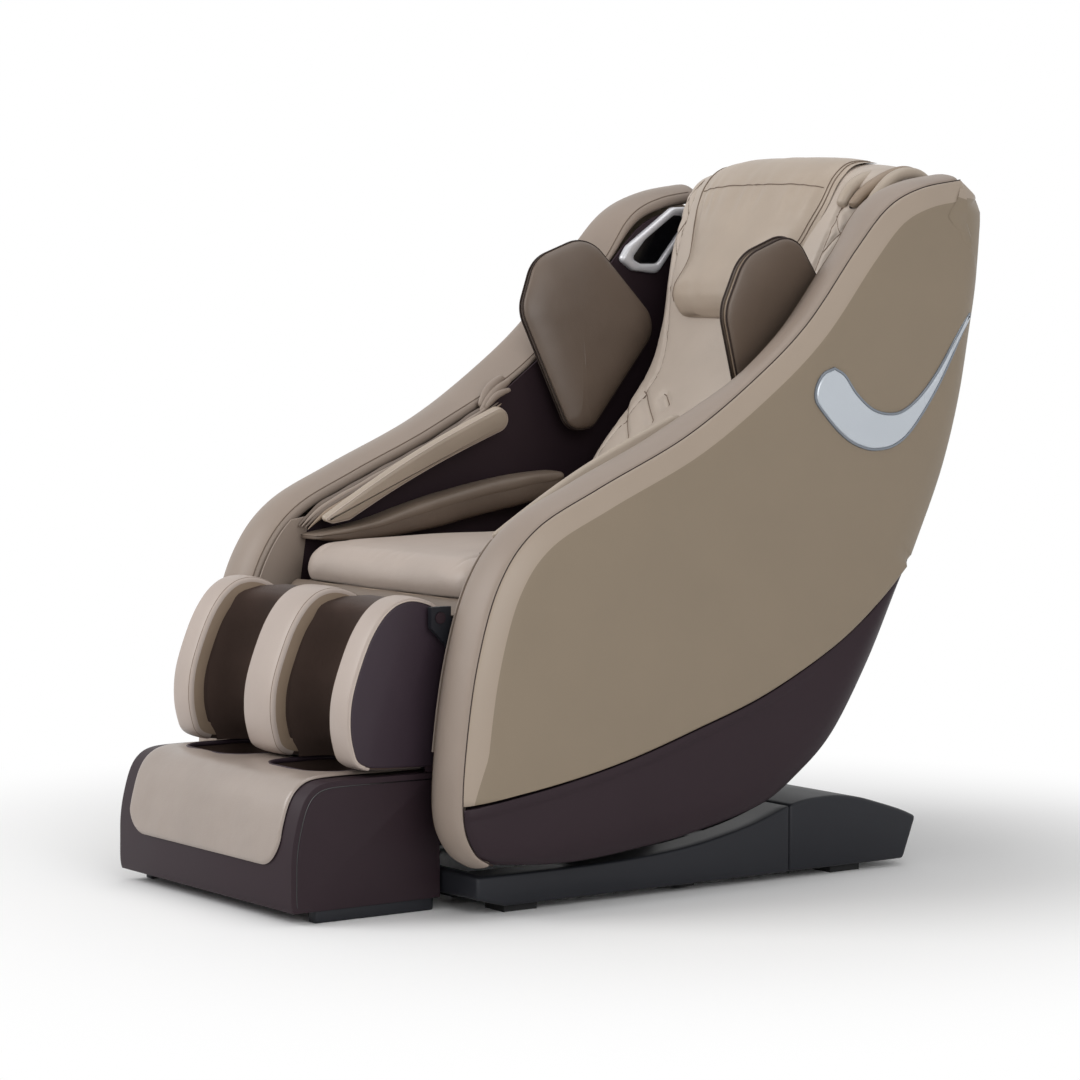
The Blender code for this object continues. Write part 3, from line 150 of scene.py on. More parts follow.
def rounded(corners, steps=8):
    """A closed outline from (a, b, radius) corners, with an arc at each."""
    outline = []
    for index, (a, b, radius) in enumerate(corners):
        here = Vector((a, b))
        before = (Vector(corners[index - 1][:2]) - here).normalized()
        after = (Vector(corners[(index + 1) % len(corners)][:2]) - here).normalized()
        half = before.angle(after) / 2
        centre = here + (before + after).normalized() * radius / math.sin(half)
        reach = radius / math.tan(half)
        start = here + before * reach - centre
        turn = start.angle_signed(here + after * reach - centre)
        for step in range(steps + 1):
            outline.append(centre + Matrix.Rotation(-turn * step / steps, 2) @ start)
    return outline


def rectangle(x0, y0, x1, y1):
    """Corners of an upright rectangle, from its low corner on round."""
    return [(x0, y0), (x1, y0), (x1, y1), (x0, y1)]


def round_box(x0, y0, x1, y1, radius, steps):
    return rounded([(*spot, radius) for spot in rectangle(x0, y0, x1, y1)], steps)


def turns(count):
    """Evenly spaced angles of one full turn."""
    return [2 * math.pi * k / count for k in range(count)]


def grown(outline, distance):
    """A closed outline moved outward, or inward where the distance is negative."""
    area = sum(a.x * b.y - b.x * a.y for a, b in zip(outline, outline[1:] + outline[:1]))
    sign = 1 if area > 0 else -1
    moved = []
    for index, point in enumerate(outline):
        along = outline[(index + 1) % len(outline)] - outline[index - 1]
        if along.length < 1e-9:
            continue
        along.normalize()
        moved.append(point + distance * sign * Vector((along.y, -along.x)))
    return moved


def ramp(value, low, high):
    """Smooth 0 to 1 between two values."""
    t = max(0.0, min(1.0, (value - low) / (high - low)))
    return t * t * (3 - 2 * t)


def table(pairs, value):
    """Straight interpolation in (value, result) pairs."""
    return float(np.interp(value, [p[0] for p in pairs], [p[1] for p in pairs]))


def along_line(marks, points, value):
    """The 2-D point at a value, where each given point has its mark."""
    return Vector([float(np.interp(value, marks, [p[k] for p in points])) for k in (0, 1)])


# ---------------------------------------------------------------- materials


def linear(value):
    share = value / 255
    return share / 12.92 if share <= 0.04045 else ((share + 0.055) / 1.055) ** 2.4


def shade(rgb, factor=1.0):
    return [min(1.0, linear(v) * factor) for v in rgb] + [1.0]


def wire(tree, node, inputs):
    """Set each input of a node to a value, or link it to another node's output."""
    for key, value in inputs.items():
        if isinstance(value, bpy.types.NodeSocket):
            tree.links.new(value, node.inputs[key])
        else:
            node.inputs[key].default_value = value


def shader_node(tree, kind, inputs=None, **settings):
    made = tree.nodes.new("ShaderNode" + kind)
    for key, value in settings.items():
        setattr(made, key, value)
    wire(tree, made, inputs or {})
    return made


def material(name, rgb, rough, grain=0.0, grain_scale=400.0, variation=0.06, cloud=0.0,
             cloud_scale=9.0, metallic=0.0, coat=0.0, sheen=0.0, rough_spread=0.06, weave=False,
             specular=0.5):
    """A finish with mottled colour and roughness, fine grain and broad soft unevenness."""
    made = bpy.data.materials.new(name)
    made.use_nodes = True
    made.diffuse_color = shade(rgb)
    tree = made.node_tree
    spot = shader_node(tree, "TexCoord").outputs["Object"]
    broad = shader_node(tree, "TexNoise", {"Scale": cloud_scale, "Detail": 4.0, "Vector": spot})
    tint = shader_node(tree, "ValToRGB", {"Fac": broad.outputs["Fac"]})
    low, high = tint.color_ramp.elements
    low.position, high.position = 0.30, 0.70
    low.color, high.color = shade(rgb, 1 - variation), shade(rgb, 1 + variation)
    fine = shader_node(tree, "TexNoise" if weave else "TexVoronoi",
                       {"Scale": grain_scale, "Vector": spot})
    spread = shader_node(tree, "MapRange", {"To Min": rough - rough_spread,
                                            "To Max": rough + rough_spread,
                                            "Value": broad.outputs["Fac"]})
    bumps = []
    if cloud:
        soft = shader_node(tree, "TexNoise", {"Scale": cloud_scale * 3, "Detail": 2.0,
                                              "Vector": spot})
        bumps.append((cloud, 0.8, soft.outputs["Fac"]))
    if grain:
        bumps.append((grain, 0.7, fine.outputs["Fac" if weave else "Distance"]))
    normal = {}
    for distance, strength, height in bumps:
        bump = shader_node(tree, "Bump", {"Distance": distance, "Strength": strength,
                                          "Height": height, **normal})
        normal = {"Normal": bump.outputs["Normal"]}
    wire(tree, tree.nodes["Principled BSDF"],
         {"Metallic": metallic, "Specular IOR Level": specular, "Coat Weight": coat,
          "Coat Roughness": 0.25, "Sheen Weight": sheen, "Sheen Roughness": 0.4,
          "Base Color": tint.outputs["Color"], "Roughness": spread.outputs["Result"], **normal})
    return made


TAUPE = material("satin_taupe", (133, 119, 101), 0.38, 0.00003, 900, 0.02, coat=0.08,
                 specular=0.35)
TAUPE_BAND = material("satin_taupe_band", (160, 145, 130), 0.38, 0.00003, 900, 0.02, coat=0.08,
                      specular=0.35)
AUBERGINE = material("aubergine_plastic", (47, 36, 41), 0.48, 0.00005, 900, 0.04, specular=0.14)
AUBERGINE_SKIN = material("aubergine_leather", (52, 41, 49), 0.50, 0.00010, 450, 0.06,
                          specular=0.25)
RIM_SKIN = material("rim_leather_skin", (145, 131, 120), 0.46, 0.00008, 500, 0.04, specular=0.35)
BEIGE_SKIN = material("beige_leather_skin", (168, 154, 139), 0.44, 0.00012, 420, 0.05, 0.0012,
                      specular=0.45)
PILLOW_SKIN = material("pillow_leather_skin", (168, 153, 138), 0.40, 0.00012, 420, 0.05, 0.0008,
                       specular=0.45)
SEAT_SKIN = material("seat_leather_skin", (172, 158, 148), 0.44, 0.00012, 420, 0.05, 0.0012)
CALF_SKIN = material("calf_leather_skin", (172, 158, 149), 0.46, 0.00012, 420, 0.05, 0.0008)
# Partly the leather's own colour, partly a painted highlight: lightened to stand in for the
# highlight on the cover's top bend.
COVER_SKIN_PAINTED_HIGHLIGHT = material("cover_leather_skin", (150, 137, 128), 0.34, 0.00014, 420, 0.05, 0.0010,
                      specular=0.7)
ARM_SKIN = material("arm_leather_skin", (112, 98, 86), 0.50, 0.00012, 420, 0.07, 0.0010)
# Painted light: the beige leather made lighter to stand in for the light falling on the back.
PAINTED_LIGHT_BACK_SKIN = material("back_leather_skin", (180, 167, 155), 0.44, 0.00012, 420, 0.05, 0.0012,
                     specular=0.45)
TAN_SKIN = material("tan_leather_skin", (140, 122, 104), 0.50, 0.00012, 420, 0.07, 0.0008)
BROWN_SKIN = material("brown_leather_skin", (99, 85, 74), 0.44, 0.00012, 420, 0.08, 0.0012)
PIPING_DARK = material("dark_piping", (52, 42, 38), 0.60, 0.00008, 700, 0.05, specular=0.2)
PIPING_LIGHT = material("light_piping", (187, 173, 162), 0.45, 0.00008, 700, 0.05)
THREAD = material("thread", (112, 97, 84), 0.75, 0.0001, 1500, 0.1)
FABRIC = material("brown_weave", (68, 54, 48), 0.88, 0.0004, 700, 0.14, sheen=0.15, weave=True,
                  specular=0.2)
BASE_BLACK = material("base_moulding", (32, 33, 38), 0.46, 0.00006, 900, 0.05, specular=0.25)
SILVER = material("silver_paint", (186, 192, 199), 0.26, 0.00002, 900, 0.02, metallic=0.35,
                  coat=0.3)
SILVER_EDGE = material("silver_edge", (120, 126, 134), 0.25, 0.00002, 900, 0.02, metallic=0.5,
                       coat=0.3)
BEZEL = material("bezel_silver", (206, 206, 210), 0.30, 0.00002, 900, 0.02, metallic=0.2,
                 coat=0.3)
GLOSS = material("gloss_insert", (9, 9, 12), 0.12, 0.0, 900, 0.0, coat=0.5, rough_spread=0.03)
STEEL_PAINT = material("frame_paint", (40, 42, 45), 0.5, 0.0001, 600, 0.06)
STEEL = material("turned_steel", (180, 182, 186), 0.25, 0.00002, 900, 0.03, metallic=1.0)
RUBBER = material("foot_rubber", (24, 24, 25), 0.85, 0.0001, 600, 0.08)
NYLON = material("nylon", (200, 196, 186), 0.5, 0.00005, 600, 0.04)
DARK_ROLLER = material("roller_brown", (70, 58, 50), 0.55, 0.00005, 600, 0.04)

CAD_FINISH = {
    "dark_panel": AUBERGINE, "base_plastic": BASE_BLACK, "painted_steel": STEEL_PAINT,
    "bright_steel": STEEL, "rubber": RUBBER, "nylon": NYLON, "gloss_black": GLOSS,
    "taupe_panel": TAUPE, "rim_leather": RIM_SKIN, "beige_leather": BEIGE_SKIN,
    "brown_leather": BROWN_SKIN, "brown_fabric": FABRIC, "silver_trim": SILVER,
}

OWN_FINISH = {"sole_roller_left": DARK_ROLLER, "sole_roller_right": DARK_ROLLER,
              "seat_frame": BASE_BLACK}

# ---------------------------------------------------------------- mesh helpers


def mesh_object(name, bm, looks):
    mesh = bpy.data.meshes.new(name)
    bm.to_mesh(mesh)
    bm.free()
    for look in looks:
        mesh.materials.append(look)
    made = bpy.data.objects.new(name, mesh)
    bpy.context.scene.collection.objects.link(made)
    return made


def smooth(obj, angle):
    """Smooth shading with edges sharper than the angle, in degrees, kept sharp."""
    obj.data.shade_smooth()
    obj.data.set_sharp_from_angle(angle=math.radians(angle))
    return obj


def piece(name, bm, look, smooth_angle=40):
    bmesh.ops.recalc_face_normals(bm, faces=bm.faces)
    return smooth(mesh_object(name, bm, [look]), smooth_angle)


def skin(name, rows, look, closed=False, capped=False, smooth_angle=40):
    """A grid of points as a surface; closed rows make a tube, capped at both ends or "last"."""
    bm = bmesh.new()
    grid = [[bm.verts.new(p) for p in row] for row in rows]
    width = len(grid[0])
    for row, following in zip(grid, grid[1:]):
        for index in range(width if closed else width - 1):
            after = (index + 1) % width
            bm.faces.new((row[index], row[after], following[after], following[index]))
    if capped is True:
        bm.faces.new(grid[0])
    if capped:
        bm.faces.new(grid[-1])
    return piece(name, bm, look, smooth_angle)


def thicken(obj, depth, offset=-1.0):
    wall = obj.modifiers.new("wall", "SOLIDIFY")
    wall.thickness = depth
    wall.offset = offset
    return settle(obj)


def settle(obj):
    """Apply the object's modifiers."""
    bpy.context.view_layer.update()
    seen = obj.evaluated_get(bpy.context.evaluated_depsgraph_get())
    mesh = bpy.data.meshes.new_from_object(seen)
    obj.modifiers.clear()
    obj.data = mesh
    return obj


def bevelled(obj, width, steps=3, angle=30):
    edge = obj.modifiers.new("edges", "BEVEL")
    edge.width = width
    edge.segments = steps
    edge.limit_method = "ANGLE"
    edge.angle_limit = math.radians(angle)
    return smooth(settle(obj), 45)


def prism(name, outline, low, high, look, plane="YZ", bevel=0.0):
    """A flat outline given thickness between two places on the third axis."""
    spots = {"YZ": lambda a, b, c: (c, a, b), "XY": lambda a, b, c: (a, b, c),
             "XZ": lambda a, b, c: (a, c, b)}[plane]
    bm = bmesh.new()
    near = [bm.verts.new(spots(p[0], p[1], low)) for p in outline]
    far = [bm.verts.new(spots(p[0], p[1], high)) for p in outline]
    bm.faces.new(near)
    bm.faces.new(list(reversed(far)))
    for index in range(len(outline)):
        after = (index + 1) % len(outline)
        bm.faces.new((near[index], near[after], far[after], far[index]))
    made = piece(name, bm, look, 30)
    return bevelled(made, bevel) if bevel else made


def carve(obj, *cutters):
    for cutter in cutters:
        step = obj.modifiers.new("cut", "BOOLEAN")
        step.operation = "DIFFERENCE"
        step.solver = "EXACT"
        step.object = cutter
    obj = settle(obj)
    for cutter in cutters:
        bpy.data.objects.remove(cutter)
    return obj


def tube(name, points, radius, look, closed=False, sides=8):
    """A round cord of piping along a line of 3-D points."""
    rows = []
    points = [Vector(p) for p in points]
    up = Vector((0.13, 0.29, 0.95)).normalized()
    count = len(points)
    for index, point in enumerate(points):
        if closed:
            along = points[(index + 1) % count] - points[index - 1]
        else:
            along = points[min(index + 1, count - 1)] - points[max(index - 1, 0)]
        along.normalize()
        side = along.cross(up).normalized()
        up = side.cross(along).normalized()
        rows.append([point + radius * (math.cos(a) * side + math.sin(a) * up)
                     for a in turns(sides)])
    if closed:
        rows.append(rows[0])
    return skin(name, rows, look, closed=True, capped=not closed, smooth_angle=80)


def subdivide(obj, levels=1):
    finer = obj.modifiers.new("finer", "SUBSURF")
    finer.levels = levels
    finer.render_levels = levels
    obj = settle(obj)
    obj.data.shade_smooth()
    return obj


def fold(rows, look):
    """A soft round form through rings of points, closed at both ends."""
    return subdivide(skin("fold", rows, look, closed=True, capped=True, smooth_angle=80))


def shape(obj, move):
    """Move each vertex by what the function gives for its place and normal."""
    mesh = obj.data
    normals = [v.normal.copy() for v in mesh.vertices]
    for vertex, normal in zip(mesh.vertices, normals):
        vertex.co = move(vertex.co.copy(), normal)
    mesh.update()
    return obj


def joined(name, *objs):
    """Several objects as one, each keeping its material."""
    bm = bmesh.new()
    looks = []
    for obj in objs:
        start = len(bm.faces)
        bm.from_mesh(obj.data)
        bm.faces.ensure_lookup_table()
        look = obj.data.materials[0]
        if look not in looks:
            looks.append(look)
        for face in bm.faces[start:]:
            face.material_index = looks.index(look)
    made = mesh_object(name, bm, looks)
    for obj in objs:
        bpy.data.objects.remove(obj)
    return made


def mirror(obj, name):
    copy = obj.copy()
    copy.data = obj.data.copy()
    copy.name = name
    copy.data.transform(Matrix.Scale(-1, 4, (1, 0, 0)))
    copy.data.flip_normals()
    bpy.context.scene.collection.objects.link(copy)
    return copy


def both(obj, body, node=None):
    """Finish a left piece and its mirror: names, bodies, slots and the nodes they replace."""
    stem = obj.name
    right = mirror(obj, stem + "_right")
    obj.name = stem + "_left"
    for made, word in ((obj, "left"), (right, "right")):
        place(made, body.format(word[0]), node and f"{node}_{word}")


def place(obj, body, node=None):
    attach(obj, body)
    if node:
        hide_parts(node)


def puffed(obj, pressure, cap, voxel=0.006, pinned=None):
    """Blow the form up a little as cloth, moving no point further than the cap."""
    remesh = obj.modifiers.new("remesh", "REMESH")
    remesh.mode = "VOXEL"
    remesh.voxel_size = voxel
    obj = settle(obj)
    rest = [v.co.copy() for v in obj.data.vertices]
    cloth = obj.modifiers.new("cloth", "CLOTH")
    settings = cloth.settings
    settings.use_pressure = True
    settings.uniform_pressure_force = pressure
    settings.effector_weights.gravity = 0.0
    settings.tension_stiffness = 12
    settings.compression_stiffness = 6
    settings.bending_stiffness = 0.3
    settings.quality = 5
    cloth.collision_settings.use_collision = False
    scene = bpy.context.scene
    for step in range(1, 21):
        scene.frame_set(step)
    obj = settle(obj)
    for vertex, start in zip(obj.data.vertices, rest):
        step = vertex.co - start
        share = pinned(start) if pinned else 1.0
        limit = cap * share
        if step.length > limit:
            step = step.normalized() * limit
        vertex.co = start + step
    scene.frame_set(1)
    return subdivide(obj)


# ---------------------------------------------------------------- camera, floor and light

AZIMUTH = math.radians(54.8)
ELEVATION = math.radians(4.0)
CAMERA_TARGET = Vector((0, 0.0176, 0.5426))
CAMERA_DISTANCE = 5.925
LENS_MM = 119.1
WORLD_LEVEL = 0.38
KEY_WATTS, SIDE_WATTS, TOP_WATTS = 92, 66, 38


def camera():
    data = bpy.data.cameras.new("camera")
    data.sensor_width = 36
    data.lens = LENS_MM
    made = bpy.data.objects.new("camera", data)
    back = Vector((math.sin(AZIMUTH) * math.cos(ELEVATION),
                   -math.cos(AZIMUTH) * math.cos(ELEVATION), math.sin(ELEVATION)))
    made.location = CAMERA_TARGET + CAMERA_DISTANCE * back
    made.rotation_euler = back.to_track_quat("Z", "Y").to_euler()
    bpy.context.scene.collection.objects.link(made)
    bpy.context.scene.camera = made


def area_light(name, spot, size, watts, colour=(1, 1, 1)):
    data = bpy.data.lights.new(name, "AREA")
    data.shape = "RECTANGLE"
    data.size, data.size_y = size
    data.energy = watts
    data.color = colour
    made = bpy.data.objects.new(name, data)
    made.location = spot
    made.rotation_euler = (Vector(spot) - Vector((0, 0, 0.55))).to_track_quat("Z", "Y").to_euler()
    bpy.context.scene.collection.objects.link(made)


def studio():
    scene = bpy.context.scene
    scene.view_settings.view_transform = "Standard"
    world = bpy.data.worlds.new("studio")
    scene.world = world
    world.use_nodes = True
    tree = world.node_tree
    soft = tree.nodes["Background"]
    wire(tree, soft, {"Color": WHITE, "Strength": WORLD_LEVEL})
    plain = shader_node(tree, "Background", {"Color": WHITE, "Strength": 1.0})
    mix = shader_node(tree, "MixShader", {0: seen_rays(tree), 1: soft.outputs[0],
                                          2: plain.outputs[0]})
    wire(tree, tree.nodes["World Output"], {"Surface": mix.outputs[0]})
    area_light("key", (-1.6, -3.6, 2.6), (2.6, 2.2), KEY_WATTS)
    area_light("side", (4.0, -1.2, 1.8), (3.0, 2.4), SIDE_WATTS)
    area_light("top", (0.2, 0.4, 4.2), (3.0, 3.0), TOP_WATTS)
    bm = bmesh.new()
    bmesh.ops.create_grid(bm, x_segments=1, y_segments=1, size=14)
    piece("floor", bm, floor_look())


def seen_rays(tree):
    """1 for rays that show the background: camera, glossy and transmission rays."""
    rays = shader_node(tree, "LightPath")
    total = rays.outputs["Is Camera Ray"]
    for kind in ("Is Glossy Ray", "Is Transmission Ray"):
        add = shader_node(tree, "Math", {0: total, 1: rays.outputs[kind]}, operation="ADD",
                          use_clamp=True)
        total = add.outputs[0]
    return total


def floor_look():
    """Pale floor that turns plain white away from the chair, so no horizon shows."""
    made = material("pale_floor", (250, 250, 250), 0.9, variation=0.0)
    tree = made.node_tree
    spot = shader_node(tree, "TexCoord").outputs["Object"]
    reach = shader_node(tree, "VectorMath", {0: spot}, operation="LENGTH")
    fade = shader_node(tree, "MapRange", {"From Min": 0.70, "From Max": 1.60,
                                          "Value": reach.outputs["Value"]},
                       interpolation_type="SMOOTHSTEP")
    share = shader_node(tree, "Math", {0: fade.outputs["Result"], 1: seen_rays(tree)},
                        operation="MULTIPLY")
    white = shader_node(tree, "Emission", {"Color": WHITE, "Strength": 1.0})
    mix = shader_node(tree, "MixShader", {0: share.outputs[0], 2: white.outputs[0],
                                          1: tree.nodes["Principled BSDF"].outputs[0]})
    wire(tree, tree.nodes["Material Output"], {"Surface": mix.outputs[0]})
    return made


# ---------------------------------------------------------------- side shells

BAND = 0.034            # width of the light band beside the seam
BAND_COLUMNS = 10
SHELL_WALL = 0.003


def seam_points(count):
    return spline(SEAM_LINE, count)


def skin_x(distance, height):
    """How far out the side skin stands at a distance behind the seam."""
    crisp = table([(0, 0.0), (0.0015, 0.003), (0.008, 0.0062), (BAND - 0.004, 0.0150),
                   (BAND + 0.001, 0.0163), (BAND + 0.006, 0.0170), (0.070, 0.0182),
                   (0.110, 0.0185)], distance)
    soft = table([(0, 0.0), (0.0015, 0.003), (0.008, 0.0070), (0.016, 0.0105), (0.028, 0.0140),
                  (0.040, 0.0160), (0.055, 0.0172), (0.080, 0.0182), (0.110, 0.0185)], distance)
    share = ramp(height, 0.35, 0.75)
    return FACE_X - 0.0185 + soft * (1 - share) + crisp * share


def side_panel():
    """Satin panel: a light band beside the seam, then the broad face."""
    seam = [p for p in seam_points(260) if p.y > SPLIT_FRONT_Z]
    chamfer = [Vector((0.585, 1.137)), Vector((0.6235, 1.1085)), Vector((0.6275, 1.1040))]
    front = even(seam, 120) + even(chamfer, 12)[1:]
    split = [p + Vector((0, SPLIT_GAP)) for p in spline(SPLIT_LINE, 90)]
    rear = [p for p in spline(REAR_LINE, 200) if p.y > SPLIT_REAR_Z + 0.001]
    join = 76
    back = even(split[6:], join) + even(rear, len(front) - join)
    ways = directions(front)
    rows = []
    for index, (start, end) in enumerate(zip(front, back)):
        span = (end - start).length
        normal = Vector((ways[index].y, -ways[index].x))
        lean = ramp(index, 0, 10)
        straight = (end - start).normalized() if span > 1e-6 else normal
        normal = (normal * lean + straight * (1 - lean)).normalized()
        reach = min(0.075, span * 0.5)
        near = [0, 0.0008, 0.002, 0.005, 0.010, 0.016, 0.022, 0.026, 0.029, 0.031, 0.033, 0.035,
                0.037, 0.040, 0.044, 0.050, 0.060, 0.075]
        row = []
        for distance in near:
            point = start + normal * distance * reach / 0.075
            row.append((point, distance * reach / 0.075, (end - point).length))
        last = row[-1][0]
        left = (end - last).length
        for share in (0.15, 0.3, 0.45, 0.6, 0.75, 0.86, 0.92, 0.96, 0.985, 0.997, 1.0):
            point = last.lerp(end, share)
            row.append((point, reach + left * share, left * (1 - share)))
        at_rear = index >= join - 2
        line = []
        for point, distance, remaining in row:
            x = skin_x(distance, point.y)
            if at_rear:
                x -= 0.012 * (1 - min(1.0, remaining / 0.060)) ** 2
            x -= 0.0015 * (1 - min(1.0, remaining / 0.002)) ** 2
            line.append(Vector((x, point.x, point.y)))
        rows.append(line)
    sheet = skin("panel", rows, TAUPE, smooth_angle=60)
    sheet.data.materials.append(TAUPE_BAND)
    across = len(rows[0]) - 1
    for index, face in enumerate(sheet.data.polygons):
        if index % across < BAND_COLUMNS:
            face.material_index = 1
    both(thicken(sheet, SHELL_WALL), "capsule", "side_panel")


def lower_panel():
    """Dark panel below the split, with a raised strip along its upper edge."""
    top = [p - Vector((0, SPLIT_GAP)) for p in even(spline(SPLIT_LINE, 160), 90)]
    bottom = even([p for p in spline(REAR_LINE, 300) if p.y < SPLIT_REAR_Z - 0.002], 90)
    edge = even([p for p in reversed(seam_points(400)) if p.y < SPLIT_FRONT_Z - 0.001], 60)
    rows = []
    for index, (high, low) in enumerate(zip(top, bottom)):
        span = (low - high).length
        pull = max(0.0, 1 - index / 22) ** 1.3
        columns = [0, 0.001, 0.004, 0.009, 0.013, 0.016, 0.019, 0.022, 0.028]
        shares = [min(c / span, 0.6) for c in columns] if span > 0.05 else \
            [0.6 * k / 8 for k in range(9)]
        shares += [shares[-1] + (1 - shares[-1]) * s for s in (0.15, 0.35, 0.55, 0.72, 0.84, 0.92,
                                                               0.97, 1.0)]
        row = []
        for share in shares:
            straight = top[0].lerp(bottom[0], share)
            bend = (edge[round(share * 59)] - straight) * pull
            point = high.lerp(low, share) + bend
            below = share * span
            strip = 0.0026 * (1 - ramp(below, 0.013, 0.019)) * (1 - ramp(index, 50, 70))
            swell = 0.0025 * math.sin(math.pi * min(1.0, below / max(span, 0.01)))
            x = FACE_X - 0.0035 + strip + swell
            x -= 0.016 * (1 - min(1.0, (1 - share) * span / 0.045)) ** 2
            x -= 0.0135 * (1 - min(1.0, index / 7)) ** 2
            x -= 0.0015 * (1 - min(1.0, below / 0.002)) ** 2
            row.append(Vector((x, point.x, point.y)))
        rows.append(row)
    panel = thicken(skin("under_panel", rows, AUBERGINE, smooth_angle=60), SHELL_WALL)
    both(panel, "capsule", "lower_panel")


RIM_SECTION = [
    # inward from the seam, lift in front and on top, lift lost in the middle
    (-0.0085, -0.0040, 0.0), (-0.0035, -0.0012, 0.0), (-0.0015, 0.0010, 0.0),
    (-0.0035, 0.0040, 0.0), (-0.0110, 0.0074, 0.0), (-0.0230, 0.0102, 0.003),
    (-0.0380, 0.0122, 0.007), (-0.0520, 0.0122, 0.0115), (-0.0640, 0.0105, 0.015),
    (-0.0740, 0.0072, 0.0165), (-0.0840, 0.0020, 0.017), (-0.0905, -0.0030, 0.0155),
    (-0.0935, -0.0085, 0.014), (-0.0930, -0.0180, 0.009), (-0.0830, -0.0235, 0.009),
    (-0.0200, -0.0240, 0.0)]


def rim():
    """Padded leather rim between the seam and the inner wall."""
    line = seam_points(150)
    crest = left_of(line, 1.0)
    rows = []
    for seam, above in zip(line, crest):
        out = above - seam
        middle = ramp(seam.y, 0.72, 0.84) * (1 - ramp(seam.y, 1.02, 1.12))
        rows.append([Vector((SEAM_X + inward, seam.x + out.x * (lift - lost * middle),
                             seam.y + out.y * (lift - lost * middle)))
                     for inward, lift, lost in RIM_SECTION])
    made = skin("rim_pad", rows, RIM_SKIN, closed=True, capped=True, smooth_angle=70)
    both(subdivide(made), "capsule", "rim")
    # A thin dark cord in the gap between rim and panel: painted shade of the gap, not a part of
    # the chair.
    groove = [(SEAM_X - 0.0024, p.x, p.y) for p in seam_points(220)]
    both(tube("rim_gasket", groove, 0.0011, PIPING_DARK), "capsule")
    seam = [row[10] * 0.35 + row[11] * 0.65 for row in rows[2:-2]]
    both(tube("rim_stitch", seam, 0.0010, THREAD), "capsule")


TRIM_OUTLINE = [(0.302, 0.833), (0.279, 0.824), (0.264, 0.804), (0.262, 0.780), (0.280, 0.757),
                (0.308, 0.730), (0.335, 0.711), (0.363, 0.700), (0.391, 0.696), (0.429, 0.702),
                (0.466, 0.726), (0.513, 0.782), (0.551, 0.839), (0.577, 0.880), (0.5975, 0.9060),
                (0.6010, 0.9150), (0.5955, 0.9190), (0.565, 0.886), (0.523, 0.828),
                (0.485, 0.787), (0.447, 0.762), (0.414, 0.758), (0.381, 0.767), (0.349, 0.792),
                (0.325, 0.821)]


def side_trim():
    """Swept silver trim with a darker bevelled edge round a light face."""
    outline = spline(TRIM_OUTLINE + TRIM_OUTLINE[:1], 121)[:-1]
    side = Matrix(((0, 0, 1, FACE_X), (1, 0, 0, 0), (0, 1, 0, 0), (0, 0, 0, 1)))
    edge = ringed("trim_edge", outline, [(0.0, -0.001), (0.0, 0.0018), (0.0008, 0.0030),
                                         (0.0022, 0.0034), (0.0036, 0.0030), (0.0042, 0.0022)],
                  side, SILVER_EDGE)
    face = ringed("trim_face", grown(outline, -0.0042), [(0.0, 0.0018), (0.0012, 0.0032),
                                                         (0.0026, 0.0036), (0.0050, 0.0037)],
                  side, SILVER, capped=True)
    rear = [(z, y) for y, z in REAR_LINE]

    def follow(point, normal):
        beside = table(rear, point.z) - point.y
        return point - Vector((0.012 * (1 - max(0.0, min(1.0, beside / 0.062))) ** 2, 0, 0))

    trim = shape(joined("trim", edge, face), follow)
    both(trim, "capsule", "side_trim")


def ringed(name, outline, layers, at, look, capped=False):
    """The outline moved in by each layer's inset, at that layer's height, as one surface."""
    rows = [[at @ Vector((p.x, p.y, height))
             for p in (grown(outline, -inset) if inset else outline)]
            for inset, height in layers]
    return skin(name, rows, look, closed=True, capped=capped and "last", smooth_angle=35)


SPEAKER_OUTLINE = [(0.396, 1.010, 0.008), (0.412, 1.034, 0.012), (0.512, 1.104, 0.020),
                   (0.576, 1.107, 0.016), (0.478, 0.985, 0.020), (0.424, 0.991, 0.012)]
SPEAKER_INSERT = [(0.422, 1.012, 0.006), (0.452, 1.046, 0.014), (0.514, 1.089, 0.014),
                  (0.552, 1.090, 0.010), (0.478, 1.003, 0.016), (0.440, 1.003, 0.010)]


def speaker():
    """Speaker by the head: thick bevelled silver frame round a gloss insert."""
    at = Matrix(((0, 0, -1, LINER_X), (1, 0, 0, 0), (0, 1, 0, 0), (0, 0, 0, 1)))
    outer = even_ring(rounded(SPEAKER_OUTLINE, 8), 96)
    inner = even_ring(rounded(SPEAKER_INSERT, 8), 96)
    rows = [(0.0, 0.0005), (0.0, 0.0090), (0.10, 0.0115), (0.28, 0.0130), (0.72, 0.0125),
            (0.92, 0.0105), (1.0, 0.0075), (1.0, 0.0020)]
    bezel = skin("speaker_frame", [[at @ Vector((*a.lerp(b, share), height))
                                    for a, b in zip(outer, inner)] for share, height in rows],
                 BEZEL, closed=True, smooth_angle=50)
    insert = ringed("insert", inner, [(0.0, 0.0020), (0.0, 0.0050), (0.0015, 0.0062)], at, GLOSS,
                    capped=True)
    both(joined("speaker_unit", bezel, insert), "capsule", "speaker")


# ---------------------------------------------------------------- back rest and pillow

